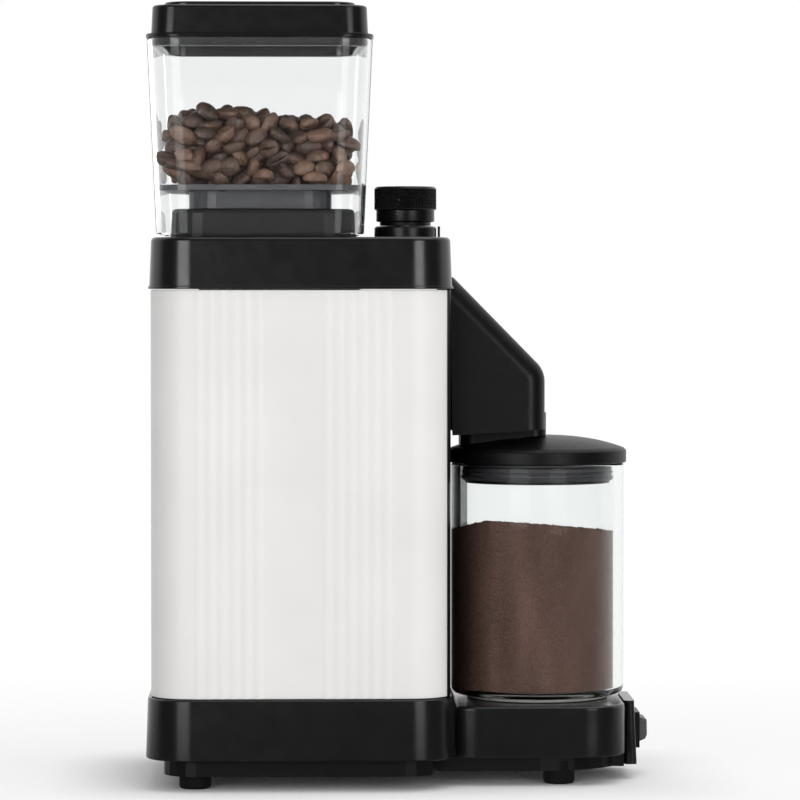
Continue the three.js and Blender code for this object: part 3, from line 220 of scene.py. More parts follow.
def lets_lamps_through(tree, shader):
    """Clear walls don't darken what they hold: shadow rays pass straight through them."""
    ray = add(tree, "LightPath").outputs["Is Shadow Ray"]
    show_either(tree, ray, shader, add(tree, "BsdfTransparent"))


def powder_coat_white(text):
    """Epoxy powder coat, baked on steel sheet: satin gloss over a faint orange peel of a few
    millimetres, and a shade that drifts a little over a hand's width."""
    material, tree, shader = finish("powder_coat_white", text, Roughness=0.38,
                                    Specular_IOR_Level=0.35)
    layer(tree, shader, (pattern(tree, 42.0), [(0.3, "#D8D7D5"), (0.7, text)]),
          (pattern(tree, 3.0), 0.36, 0.4), (pattern(tree, 3.2, Detail=0.5), 0.004, 0.12))
    return material


def polished_abs_black(name, text, dull):
    """ABS moulded in a polished tool: gloss that a fine haze and faint sink marks soften."""
    material, tree, shader = finish(name, text, Roughness=dull, IOR=1.5, Specular_IOR_Level=0.45)
    layer(tree, shader, (pattern(tree, 30.0), [(0.3, "#0D0D0E"), (0.7, text)]),
          (pattern(tree, 6.0), dull - 0.02, dull + 0.03),
          (pattern(tree, 24.0, Detail=1.0), 0.02, 0.1))
    return material


def spark_eroded_black(name, dull, shine):
    """ABS moulded in a spark-eroded tool: fine even grain that scatters the light softly."""
    material, tree, shader = finish(name, "#0B0B0C", Roughness=dull, IOR=1.5,
                                    Specular_IOR_Level=shine)
    layer(tree, shader, (pattern(tree, 0.9), [(0.3, "#080809"), (0.7, "#0E0E0F")]),
          (pattern(tree, 1.4), dull - 0.03, dull + 0.05),
          (pattern(tree, 0.55, Detail=3.0), 0.02, 0.3))
    return material


def clear_copolyester(text):
    """Clear copolyester, injection moulded and polished: clear, with a trace of haze."""
    material, tree, shader = finish("clear_copolyester", text, Roughness=0.01, IOR=1.5,
                                    Transmission_Weight=1.0, Specular_Tint=(0.2, 0.2, 0.2, 1))
    layer(tree, shader, gloss=(pattern(tree, 8.0), 0.0, 0.02))
    lets_lamps_through(tree, shader)
    return material


def soda_glass():
    """Pressed soda-lime glass, fire polished: clear, with soft waves that bend what is behind."""
    material, tree, shader = finish("soda_glass", "#F6F8F7", Roughness=0.0, IOR=1.5,
                                    Transmission_Weight=1.0, Specular_Tint=(0.05, 0.05, 0.05, 1))
    layer(tree, shader, bumps=(pattern(tree, 26.0, Detail=0.0), 0.06, 0.25))
    lets_lamps_through(tree, shader)
    return material


def solder_mask():
    """Glass-fibre circuit board under green solder mask: the weave's threads, 1.1 mm apart,
    show faintly below a glossy film."""
    material, tree, shader = finish("solder_mask", "#1E5A38", Roughness=0.3, IOR=1.5)
    weave = pattern(tree, 1.1 * TAU, kind="TexWave", Distortion=0.5)
    weave = add(tree, "SeparateColor", links={0: weave.outputs["Color"]})
    layer(tree, shader, (weave, [(0.2, "#1A5233"), (0.8, "#24663F")]),
          (pattern(tree, 4.0), 0.24, 0.36))
    return material


# Patterns that more than one layer of a finish follows: millimetres across, stretch and detail
SCRATCHES = (0.7, (1.0, 0.08, 1.0), 3.0)
TURNING = (0.5, (0.15, 0.15, 4.0), 1.0)
RINGS = (0.6, (0.1, 0.1, 3.0), 2.0)
GRINDING = (0.5, (0.06, 2.0, 1.0), 2.0)
SHEETS = (0.7, (0.1, 0.1, 2.5), 1.0)

# Each row: name, colour and shader values, then a pattern, or just its millimetres across, with
# the colour's stops, with the lowest and highest roughness, and with the bumps' height and strength
PLAIN = {
    # Moulded silicone: soft, slightly milky, with dust held on its matt skin
    "silicone": ("silicone_grey", "#26262A", {"Roughness": 0.5, "IOR": 1.43},
                 (2.0, [(0.3, "#222226"), (0.7, "#2C2C30")]), (2.0, 0.42, 0.6), (0.6, 0.015, 0.4)),
    # Silicone, moulded pale grey and milky so that light spreads a little inside it: the pale
    # colour is a painted highlight, standing in for the bright line under the jar's glass foot
    "milky": ("milky_silicone", "#8C8C88", {"Roughness": 0.45, "IOR": 1.43,
              "Subsurface_Weight": 0.3, "Subsurface_Radius": (0.002, 0.002, 0.002)},
              (3.0, [(0.3, "#868682"), (0.7, "#92928E")]), (2.0, 0.4, 0.5), (0.8, 0.01, 0.3)),
    # Moulded nitrile rubber: dead black and matt, with a faint bloom
    "rubber": ("moulded_rubber", "#0B0B0B",
               {"Roughness": 0.75, "IOR": 1.5, "Specular_IOR_Level": 0.2},
               (2.5, [(0.35, "#070707"), (0.75, "#0D0D0D")]), (1.5, 0.68, 0.82),
               ((0.5, (1, 1, 1), 3.0), 0.03, 0.5)),
    # Polycarbonate rocker moulded in dark grey with a fine satin grain
    "rocker": ("rocker_grey", "#444447", {"Roughness": 0.42, "IOR": 1.58},
               (1.2, [(0.3, "#414144"), (0.7, "#48484B")]), (0.8, 0.36, 0.48), (0.5, 0.015, 0.4)),
    # Hopper floor moulded in dark grey ABS: dull gloss with the fine scratches of beans
    "floor": ("smoked_abs", "#2E2E32", {"Roughness": 0.4, "IOR": 1.5},
              (9.0, [(0.3, "#2A2A2E"), (0.7, "#333337")]), (SCRATCHES, 0.32, 0.5),
              (SCRATCHES, 0.01, 0.4)),
    # Turned aluminium, black anodised: a dyed oxide that keeps the metal's soft sheen
    "anodised": ("black_anodised", "#1E1E20", {"Roughness": 0.3, "Metallic": 0.8},
                 (TURNING, [(0.3, "#19191A"), (0.75, "#28282A")]), (TURNING, 0.24, 0.36)),
    # Die-cast aluminium: pale grey, with the fine blasted skin that hides the flow marks
    "cast": ("cast_aluminium", "#A7A9AC", {"Roughness": 0.5, "Metallic": 1.0},
             (9.0, [(0.3, "#9B9DA0"), (0.7, "#B3B5B8")]), (3.0, 0.44, 0.56),
             ((0.7, (1, 1, 1), 3.0), 0.04, 0.5)),
    # Bright steel turned on a lathe: fine rings across the axis that streak the gloss
    "steel": ("turned_steel", "#B4B6B8", {"Roughness": 0.3, "Metallic": 1.0},
              (RINGS, [(0.3, "#A8AAAC"), (0.7, "#BDBFC1")]), (RINGS, 0.2, 0.4),
              (RINGS, 0.008, 0.4)),
    # Hardened tool steel, ground on its faces: darker, with straight grinding lines
    "burr": ("ground_burr_steel", "#8D8F92", {"Roughness": 0.32, "Metallic": 1.0},
             (GRINDING, [(0.3, "#838588"), (0.7, "#97999C")]), (GRINDING, 0.22, 0.42),
             (GRINDING, 0.01, 0.5)),
    # Natural nylon, moulded: warm off-white and slightly waxy
    "nylon": ("natural_nylon", "#D9D4C6", {"Roughness": 0.45, "IOR": 1.53,
              "Subsurface_Weight": 0.1, "Subsurface_Radius": (0.001, 0.001, 0.001)},
              (7.0, [(0.3, "#D3CDBE"), (0.7, "#DEDACD")]), (2.0, 0.4, 0.52), (1.2, 0.02, 0.4)),
    # Enamelled copper and laminated iron under baked varnish: brown-black, in fine layers
    "windings": ("lacquered_windings", "#3A2A22", {"Roughness": 0.4, "Metallic": 0.3},
                 (SHEETS, [(0.3, "#2A211D"), (0.7, "#5B3A28")]), (SHEETS, 0.34, 0.48),
                 (SHEETS, 0.05, 0.6)),
}


def plain_finish(key):
    """The finish that a row of PLAIN describes: layers that name the same pattern share it."""
    name, base, values, *layers = PLAIN[key]
    material, tree, shader = finish(name, base, **values)
    made = {}
    for spec, *_ in layers:
        if spec not in made:
            across, stretch, detail = spec if isinstance(spec, tuple) else (spec, (1, 1, 1), 2.0)
            made[spec] = pattern(tree, across, stretch, Detail=detail)
    layer(tree, shader, *((made[spec], *rest) for spec, *rest in layers))
    return material


def roasted_bean():
    """Medium-roasted coffee: brown skin with a faint oily sheen. The tone attribute gives each
    bean its own roast, and the crease attribute paints shade into the slot in its flat side:
    a near-black colour there stands in for the shade that falls in the groove."""
    material, tree, shader = finish("roasted_bean", "#4A362D", Roughness=0.46, IOR=1.45)
    tone = add(tree, "Attribute", attribute_name="tone").outputs["Fac"]
    crease = add(tree, "Attribute", attribute_name="crease").outputs["Fac"]
    shift = add(tree, "Math", {1: 0.45}, {0: tone}, operation="MULTIPLY").outputs[0]
    mottle = add(tree, "Math", {1: 0.8}, operation="MULTIPLY_ADD",
                 links={0: pattern(tree, 2.2, Detail=4.0).outputs[0], 2: shift})
    roast = add(tree, "ValToRGB", links={"Fac": mottle.outputs[0]},
                stops=[(0.2, "#2C211C"), (0.55, "#48362D"), (0.9, "#6B5142")])
    # Painted shade: the slot in each bean's flat side is coloured near black for the shade in its
    # groove
    slot = add(tree, "Mix", {7: linear("#1C1310")}, data_type="RGBA",
               links={0: crease, 6: roast.outputs["Color"]})
    tree.links.new(slot.outputs[2], shader.inputs["Base Color"])
    layer(tree, shader, gloss=(pattern(tree, 1.5), 0.38, 0.58),
          bumps=(pattern(tree, 1.5, Detail=5.0), 0.6, 0.9))
    return material


def ground_coffee(text):
    """Ground roasted coffee: grit about half a millimetre across, each grain its own brown,
    pressed against the glass in broader light and dark patches."""
    material, tree, shader = finish("ground_coffee", text, Roughness=0.85, IOR=1.4,
                                    Specular_IOR_Level=0.3)
    grit = pattern(tree, 0.5, kind="TexVoronoi")
    tone = add(tree, "SeparateColor", links={0: grit.outputs["Color"]})
    patches = pattern(tree, 14.0, (1.0, 1.0, 0.22), Detail=1.0)
    drift = add(tree, "Math", {1: 0.85}, {0: patches.outputs[0]}, operation="MULTIPLY")
    mixed = add(tree, "Math", {1: 0.35}, {0: tone.outputs[0], 2: drift.outputs[0]},
                operation="MULTIPLY_ADD")
    layer(tree, shader, (mixed, [(0.2, "#33241F"), (0.55, text), (0.9, "#5F4941")]),
          bumps=(grit, 0.3, 0.5))
    return material


def dim_to_white(tree, along):
    """The room's brightness by the place along Y: dim in front, white behind the grinder."""
    return add(tree, "MapRange", {"From Min": -0.1, "From Max": 0.25, "To Min": 0.1},
               {"Value": along}).outputs[0]


def seen_plainly(tree, rays):
    """1 for what the camera sees, also through clear walls, and 0 for all other rays."""
    return add(tree, "Math", operation="MAXIMUM",
               links={0: rays["Is Camera Ray"], 1: rays["Is Transmission Ray"]}).outputs[0]


def seamless_paper():
    """Matt white paper, slightly mottled. Under the object it is lit as it is and keeps the
    shadow, and away from a block of 0.19 by 0.09 m it goes over to plain white for the camera
    and through clear walls. Gloss sees it like the room: dim in front, white behind."""
    material, tree, shader = finish("seamless_paper", "#FFFFFF", Roughness=0.9,
                                    Specular_IOR_Level=0.0)
    layer(tree, shader, (pattern(tree, 60.0), [(0.3, "#FDFDFD"), (0.7, "#FFFFFF")]))
    where = add(tree, "TexCoord").outputs["Object"]
    away = where
    for operation, values in (("ABSOLUTE", {}), ("SUBTRACT", {1: (0.095, 0.045, 0.0)}),
                              ("MAXIMUM", {1: (0.0, 0.0, 0.0)})):
        away = add(tree, "VectorMath", values, {0: away}, operation=operation).outputs[0]
    away = add(tree, "VectorMath", links={0: away}, operation="LENGTH").outputs["Value"]
    far = add(tree, "ValToRGB", links={"Fac": away},
              stops=[(0.0, "#000000"), (0.022, "#868686"), (0.06, "#D6D6D6"), (0.4, "#FFFFFF")])
    rays = add(tree, "LightPath").outputs
    seen = add(tree, "Math", operation="MULTIPLY",
               links={0: seen_plainly(tree, rays), 1: far.outputs[0]}).outputs[0]
    mirrored = add(tree, "Math", operation="GREATER_THAN",
                   links={0: rays["Is Glossy Ray"], 1: rays["Is Transmission Ray"]}).outputs[0]
    share = add(tree, "Math", operation="MAXIMUM",
                links={0: seen, 1: mirrored}).outputs[0]
    along = add(tree, "SeparateXYZ", links={0: where}).outputs["Y"]
    level = add(tree, "Mix", {2: 1.0},
                {0: mirrored, 3: dim_to_white(tree, along)}).outputs[0]
    white = add(tree, "Emission", {"Color": linear("#FFFFFF")}, {"Strength": level})
    show_either(tree, share, shader, white)
    return material


FINISHES = {}


def finished(name):
    """The finish of that name, made the first time that it is asked for."""
    if name not in FINISHES:
        body, hopper, jar = (bpy.context.scene.grinder_body, bpy.context.scene.grinder_hopper,
                             bpy.context.scene.grinder_jar)
        makers = {
            "enamel": lambda: powder_coat_white(body.enamel),
            "gloss": lambda: polished_abs_black("polished_abs_black", body.gloss, 0.21),
            "satin": lambda: polished_abs_black("satin_abs_black", "#141416", 0.28),
            "spark": lambda: spark_eroded_black("spark_eroded_black", 0.34, 0.2),
            "grained": lambda: spark_eroded_black("fine_grained_black", 0.38, 0.18),
            "clear": lambda: clear_copolyester(hopper.clear),
            "glass": soda_glass,
            "board": solder_mask,
            "bean": roasted_bean,
            "grounds": lambda: ground_coffee(jar.ground),
            "paper": seamless_paper,
        }
        FINISHES[name] = plain_finish(name) if name in PLAIN else makers[name]()
    return FINISHES[name]


# Outlines and profiles, all in millimetres


def rounded(x, y, length, width, radius, steps=12):
    """Rounded rectangle about (x, y), anticlockwise: each corner is a quarter circle of
    steps + 1 points, and the last point of one corner joins the first of the next."""
    angles = np.linspace(0, math.pi / 2, steps + 1)
    sides = [(1, 1), (-1, 1), (-1, -1), (1, -1)]
    corners = [np.column_stack((
        x + across * (length / 2 - radius) + radius * np.cos(angles + turn * math.pi / 2),
        y + along * (width / 2 - radius) + radius * np.sin(angles + turn * math.pi / 2),
    )) for turn, (across, along) in enumerate(sides)]
    return np.concatenate(corners)


def ring_of_corners(x, radius):
    """A round hole at (x, 0) with the same count of points as the tower's outline."""
    return rounded(x, 0, 2 * radius, 2 * radius, radius)


def ring(x, y, radius, steps=96):
    """Circle about (x, y): x + r cos t, y + r sin t for t all round."""
    angles = np.arange(steps) * TAU / steps
    return np.column_stack((x + radius * np.cos(angles), y + radius * np.sin(angles)))


def softened(corners, steps=5):
    """Profile through (a, b, radius) corners: each corner gives way to an arc of its radius
    that touches both sides, its centre on the line that halves the angle between them."""
    points = []
    for i, (a, b, radius) in enumerate(corners):
        here = np.array((a, b), float)
        if not radius or i in (0, len(corners) - 1):
            points.append(here[None])
            continue
        back = np.array(corners[i - 1][:2], float) - here
        ahead = np.array(corners[i + 1][:2], float) - here
        back, ahead = back / np.linalg.norm(back), ahead / np.linalg.norm(ahead)
        half = math.acos(float(np.clip(back @ ahead, -1, 1))) / 2
        reach = radius / math.tan(half)
        centre = here + (back + ahead) / np.linalg.norm(back + ahead) * radius / math.sin(half)
        start, end = here + back * reach - centre, here + ahead * reach - centre
        share = np.linspace(0, 1, steps + 1)[:, None]
        turn = math.pi - 2 * half
        arc = (np.sin((1 - share) * turn) * start + np.sin(share * turn) * end) / math.sin(turn)
        points.append(centre + arc)
    return np.concatenate(points)


def place(points):
    """Metres in the model's frame from millimetres counted from the middle of the tower."""
    return (np.asarray(points, float) + np.array((TOWER_X, 0, 0))) * MM


def bend(across, up, reach, drop, steps):
    """A rounded edge as (across, up) pairs: reach (1 - cos t) inwards and drop (1 - sin t) down."""
    return [(across - reach * (1 - math.cos(a)), up - drop * (1 - math.sin(a)))
            for a in np.linspace(0, math.pi / 2, steps)]


def even(piece):
    """Normals that follow the larger faces, so a flat side stays flat up to its rounded edge."""
    piece.modifiers.new("even", "WEIGHTED_NORMAL").keep_sharp = True


def mesh_of(name, points, faces, tidy=True):
    """A mesh from points in millimetres; tidy merges doubles and turns the faces outwards."""
    mesh = bpy.data.meshes.new(name)
    mesh.from_pydata(place(points).tolist(), [], [list(map(int, face)) for face in faces])
    if tidy:
        shape = bmesh.new()
        shape.from_mesh(mesh)
        bmesh.ops.remove_doubles(shape, verts=shape.verts, dist=1e-6)
        bmesh.ops.dissolve_degenerate(shape, edges=shape.edges, dist=1e-7)
        bmesh.ops.recalc_face_normals(shape, faces=shape.faces)
        shape.to_mesh(mesh)
        shape.free()
    return mesh


def smooth_shaded(mesh, degrees):
    """Smooth shading, with edges sharper than so many degrees kept sharp."""
    mesh.polygons.foreach_set("use_smooth", np.ones(len(mesh.polygons), bool))
    mesh.set_sharp_from_angle(angle=math.radians(degrees))
    mesh.update()


def linked(name, data):
    """A new object of that mesh, lamp or camera, in the scene."""
    made = bpy.data.objects.new(name, data)
    bpy.context.scene.collection.objects.link(made)
    return made


def solid(name, points, faces, body, material, slot, replaced=(), smooth=35.0, tidy=True):
    """A piece from points in millimetres, shaded smooth up to so many degrees, that rides on its
    body in place of the nodes it replaces."""
    mesh = mesh_of(name, points, faces, tidy)
    smooth_shaded(mesh, smooth)
    made = linked(name, mesh)
    made.data.materials.append(finished(material))
    even(made)
    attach(made, body)
    if replaced:
        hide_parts(*replaced)
    return made


def net(rows, columns, round_columns=True, round_rows=False):
    """Faces of a grid of points numbered row by row, closed round its columns or its rows."""
    index = np.arange(rows * columns).reshape(rows, columns)
    if round_columns:
        index = np.concatenate((index, index[:, :1]), axis=1)
    if round_rows:
        index = np.concatenate((index, index[:1]), axis=0)
    quads = np.stack((index[:-1, :-1], index[:-1, 1:], index[1:, 1:], index[1:, :-1]), axis=-1)
    return quads.reshape(-1, 4).tolist()


def loft(rows, closed=False):
    """Points and faces of a skin over rows of (x, y, z) points, the same count in each. An open
    skin is shut with a flat face at each end, a closed one joins its last row to its first."""
    count, points = len(rows[0]), np.concatenate(rows)
    faces = net(len(rows), count, round_rows=closed)
    if not closed:
        faces += [list(range(count)), list(range(len(points) - count, len(points)))]
    return points, faces


def at_height(outline, z):
    """An (x, y) outline as points at height z."""
    return np.column_stack((outline, np.full(len(outline), z)))


def at_depth(profile, y):
    """An (x, z) profile as points at depth y."""
    return np.column_stack((profile[:, 0], np.full(len(profile), y), profile[:, 1]))


def skin(rows, closed=False):
    """Points and faces of a skin over (outline, z) rows."""
    return loft([at_height(outline, z) for outline, z in rows], closed)


def carried(profile, outline_at, closed=False):
    """A profile of (grow, z) pairs carried round an outline that is grown by grow at height z."""
    return skin([(outline_at(grow), z) for grow, z in profile], closed)


def turned(profile, x, y=0.0, steps=96, closed=False):
    """A profile of (radius, z) pairs turned about an upright axis at (x, y)."""
    return carried(profile, lambda radius: ring(x, y, max(radius, 0.0), steps), closed)


def pierce(piece, points, faces):
    """Cuts a closed form, given in millimetres, out of a finished piece."""
    cutter = linked("cutter", mesh_of("cutter", points, faces))
    piece.modifiers.clear()
    hole = piece.modifiers.new("hole", "BOOLEAN")
    hole.object = cutter
    bpy.context.view_layer.update()
    result = piece.evaluated_get(bpy.context.evaluated_depsgraph_get())
    cut = bpy.data.meshes.new_from_object(result)
    piece.modifiers.clear()
    piece.data = cut
    smooth_shaded(cut, 35)
    even(piece)
    bpy.data.objects.remove(cutter)


def tower_outline(grow):
    """The tower's rounded rectangle grown by so many millimetres all round."""
    corner = bpy.context.scene.grinder_body.corner
    return rounded(0, 0, 2 * (TOWER_X_HALF + grow), 2 * (TOWER_Y_HALF + grow), corner + grow)


TOWER_X_HALF = -low("body_shell", 0)
TOWER_Y_HALF = 62.0
MOULDED_WALL = 2.6
BURR_X = mid("lower_burr")
HOPPER_X = mid("hopper")
JAR_X = mid("jar")
KNOB_X = mid("knob")


# Pieces


def made_of(node, name):
    """Gives a carried-over CAD node one of the finishes."""
    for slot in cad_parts[node].material_slots:
        slot.material = finished(name)


def ribbed_path(inset=0.0, wave=True):
    """The shell's outline from its front right edge, round the back, to its front left edge.
    On the flat sides the sheet stands out by half the rise times 1 - cos of the place in the
    rib's pitch, so neighbouring ribs run into each other as one wave."""
    sizes = bpy.context.scene.grinder_body
    radius = sizes.corner - inset
    mid_x, mid_y = TOWER_X_HALF - sizes.corner, TOWER_Y_HALF - sizes.corner
    edge = math.acos((high("body_shell", 0) - mid_x) / radius)
    x = np.linspace(mid_x, -mid_x, 361)
    rise = np.zeros_like(x)
    for group in (sizes.rear_ribs, sizes.front_ribs):
        along = (x - group) / sizes.rib_pitch + sizes.ribs / 2
        inside = (along > 0) & (along < sizes.ribs)
        rise += np.where(inside, sizes.rib_rise * (1 - np.cos(TAU * along)) / 2, 0)
    right = np.column_stack((x, -TOWER_Y_HALF + inset - rise * wave))

    def corner(across, along, start, end):
        angles = np.linspace(start, end, 15)
        return np.column_stack((across * mid_x + radius * np.cos(angles),
                                along * mid_y + radius * np.sin(angles)))

    left = right[::-1] * (1, -1)
    quarter = math.pi / 2
    return np.concatenate((
        corner(1, -1, -edge, -quarter), right[1:-1],
        corner(-1, -1, -quarter, -2 * quarter), corner(-1, 1, 2 * quarter, quarter), left[1:-1],
        corner(1, 1, quarter, edge),
    ))


class GRINDER_OT_tower(bpy.types.Operator):
    """Ribbed steel shell and the black panel that closes its front"""

    bl_idname = "grinder.tower"
    bl_label = "Tower"

    def execute(self, context):
        sheet = context.scene.grinder_body.sheet
        bottom, top, lap = low("body_shell"), high("body_shell"), 0.5
        rows = [(0.0, bottom + lap), (0.0, top - lap), (0.15, top - 0.15), (lap, top),
                (sheet, top), (sheet, bottom), (lap, bottom), (0.15, bottom + 0.15)]
        paths = [(ribbed_path(inset, inset < sheet), z) for inset, z in rows]
        count = len(paths[0][0])
        points = np.concatenate([at_height(path, z) for path, z in paths])
        faces = net(len(rows), count, round_columns=False, round_rows=True)
        faces.append([row * count for row in range(len(rows))])
        faces.append([row * count + count - 1 for row in range(len(rows))])
        solid("tower_shell", points, faces, "housing", "enamel", "white_enamel", ["body_shell"])
        made_of("front_panel", "spark")
        return {"FINISHED"}


def hem(outer, z0, z1, edge, steps=6):
    """(grow, z) pairs up a wall from z0 to z1 that ends in a rounded edge: grow goes from
    outer[0] to outer[1] up the wall, and over the edge it falls by edge (1 - sin t)."""
    return [(outer[0], z0)] + bend(outer[1], z1, edge, edge, steps + 1)


class GRINDER_OT_base(bpy.types.Operator):
    """Flared base, its bottom plate, feet and cord gland"""

    bl_idname = "grinder.base"
    bl_label = "Base"

    def execute(self, context):
        bottom, top = low("base_skirt"), high("base_skirt")
        foot = high("base_skirt", 0) - TOWER_X_HALF
        hole = ring_of_corners(BURR_X, 44)
        rows = [(tower_outline(g), z) for g, z in
                [(foot - 0.5, bottom), (foot - 0.1, bottom + 0.2)]
                + hem((foot, 1.5), bottom + 0.7, top, 1.0)]
        rows += [(hole, top), (hole, top - MOULDED_WALL),
                 (tower_outline(-0.9), top - MOULDED_WALL), (tower_outline(foot - 2.3), bottom)]
        solid("base_surround", *skin(rows, closed=True), "housing", "gloss", "gloss_black",
              ["base_skirt"])
        for side in ("rear_right", "rear_left", "front_right", "front_left"):
            node = f"foot_{side}"
            radius = half_width(node)
            profile = softened([(0, 0, 0), (radius - 0.8, 0, 0.6), (radius, 1.2, 0.8),
                                (radius, high(node) - 0.6, 0.5), (radius - 0.6, high(node), 0.3),
                                (0, high(node), 0)])
            solid(f"rubber_{node}", *turned(profile, mid(node), mid(node, 1), 48), "housing",
                  "rubber", "black_rubber", [node])
        made_of("bottom_plate", "spark")
        made_of("cord_gland", "rubber")
        return {"FINISHED"}


def tray_outline(grow):
    """The tray's plan grown by grow: quarter circles of 19 mm at its front corners, and at its
    rear the part of an 18 mm circle that is left ahead of the tower."""
    front, rear, half = high("tray", 0), low("tray", 0), high("tray", 1)
    nose, corner, ahead = 19.0, 18.0, 10.0
    turn = np.linspace(-math.pi / 2, 0, 15)
    near = np.column_stack((front - nose + (nose + grow) * np.cos(turn),
                            nose - half + (nose + grow) * np.sin(turn)))
    shut = math.pi - math.acos((ahead + grow) / (corner + grow))
    turn = np.linspace(math.pi / 2, shut, 12)
    back = np.column_stack((rear + ahead + (corner + grow) * np.cos(turn),
                            half - corner + (corner + grow) * np.sin(turn)))
    return np.concatenate((near, (near * (1, -1))[::-1], back, (back * (1, -1))[::-1]))


class GRINDER_OT_tray(bpy.types.Operator):
    """Tray under the jar, with its pad, its front plate and the rocker switch"""

    bl_idname = "grinder.tray"
    bl_label = "Tray"

    def execute(self, context):
        bottom, top = low("tray"), high("tray")
        rows = [(-MOULDED_WALL, top - MOULDED_WALL), (-MOULDED_WALL, bottom), (-0.4, bottom),
                (0.0, bottom + 0.4)]
        rows += hem((0, 0), bottom + 1, top, 1.5)
        solid("tray_top", *carried(rows, tray_outline), "housing", "gloss", "gloss_black",
              ["tray"])
        node = "jar_pad"
        radius = half_width(node)
        profile = softened([(0, low(node), 0), (radius, low(node), 0.2),
                            (radius, high(node), 0.4), (radius - 3, high(node), 0.2),
                            (radius - 3.4, high(node) - 0.4, 0.2), (0, high(node) - 0.4, 0)])
        # The rest's pale colour is a painted highlight under the jar's glass foot
        solid("jar_rest", *turned(profile, mid(node)), "housing", "milky", "black_rubber", [node])
        made_of("front_plate", "gloss")
        made_of("switch_bezel", "spark")
        self.rocker()
        return {"FINISHED"}

    def rocker(self):
        """The rocker's side profile with softened corners, carried across its width and drawn
        in by up to half a millimetre at each side."""
        node = "switch_rocker"
        x0, x1, z0, z1 = low(node, 0), high(node, 0), low(node), high(node)
        face = low(node, 0) + 5.6
        profile = softened([(x0 + 3.2, z0 + 0.4, 0), (face - 0.6, z0 + 0.2, 0.5),
                            (face - 0.3, z0 + 1.4, 0.4), (x1 - 0.9, z0 + 2.6, 1.0),
                            (x1 - 0.1, z0 + 4.4, 0.8),
                            (x1 - 0.2, z1 - 1.2, 1.0), (face - 0.6, z1 - 0.1, 0.3),
                            (x0 + 3.2, z1 - 0.6, 0)], 5)
        centre = profile.mean(axis=0)
        half = high(node, 1) - 0.1
        edge = bend(0, half, 0.5, 0.5, 6)
        sides = [(-y, -grow) for grow, y in edge[::-1]] + [(y, -grow) for grow, y in edge]
        reach = np.linalg.norm(profile - centre, axis=1)[:, None]
        rows = [centre + (profile - centre) * (1 - inset / reach) for _, inset in sides]
        rows = [at_depth(row, y) for row, (y, _) in zip(rows, sides)]
        solid("rocker_key", *loft(rows), "rocker", "rocker", "dark_grey", [node])


class GRINDER_OT_cap(bpy.types.Operator):
    """Cap on the tower, with the hopper's seat, the knob's collar and its pointer"""

    bl_idname = "grinder.cap"
    bl_label = "Cap"

    def execute(self, context):
        bottom, top = low("top_cap"), high("top_cap")
        hole = ring_of_corners(BURR_X, 28)
        rows = [(tower_outline(g), z) for g, z in
                softened([(0.7, bottom, 0), (1.1, bottom + 0.2, 0.2), (1.1, bottom + 1.2, 0.25),
                          (0.6, bottom + 1.3, 0.1), (0.55, bottom + 2.4, 0)], 3).tolist()
                + hem((0.5, -0.2), bottom + 3, top, 1.8, 9)]
        rows += [(hole, top), (hole, top - MOULDED_WALL),
                 (tower_outline(-2.8), top - MOULDED_WALL), (tower_outline(-1.9), bottom)]
        solid("cap_top", *skin(rows, closed=True), "housing", "gloss", "gloss_black", ["top_cap"])
        made_of("hopper_seat", "spark")
        made_of("grind_pointer", "anodised")
        node, radius = "knob_collar", half_width("knob_collar")
        profile = softened([(9.5, low(node), 0), (radius, low(node), 0.2),
                            (radius, high(node) - 0.8, 0.4), (radius - 0.8, high(node), 0.4),
                            (9.5, high(node), 0)])
        solid("collar_ring", *turned(profile, KNOB_X, closed=True), "housing", "anodised",
              "matt_black", [node])
        return {"FINISHED"}


def square(x, side, radius):
    """Rounded square of the hopper and its lid, about (x, 0)."""
    return rounded(x, 0, side, side, radius, 14)


def bean_shape():
    """One bean as a grid: a half ellipsoid with a flattened lower side, and a crease along that
    side that deepens as a bell curve of the distance from its middle line."""
    u = np.linspace(0, math.pi, 9)[:, None]
    v = np.array((0, 30, 65, 100, 140, 180, 216, 250, 262, 270, 278, 290, 324))[None] * TAU / 360
    girth = np.sin(u) ** 0.8
    x = np.cos(u) * np.ones_like(v)
    y = girth * np.cos(v) * 0.74
    z = girth * np.sin(v)
    groove = np.exp(-((np.cos(v) / 0.13) ** 2)) * (z < 0) * np.sin(u)
    z = np.where(z < 0, z * 0.3, z * 0.66) + groove * 0.16
    points = np.stack((x, y + 0 * u, z), axis=-1).reshape(-1, 3) / 2
    return points, net(9, 13), (groove + 0 * u).reshape(-1)


# Height of the heap of beans, by place along the hopper
HEAP_X = (-44, -20, 2, 29, 42)
HEAP_Z = (290, 297.5, 292.5, 291, 288.5)


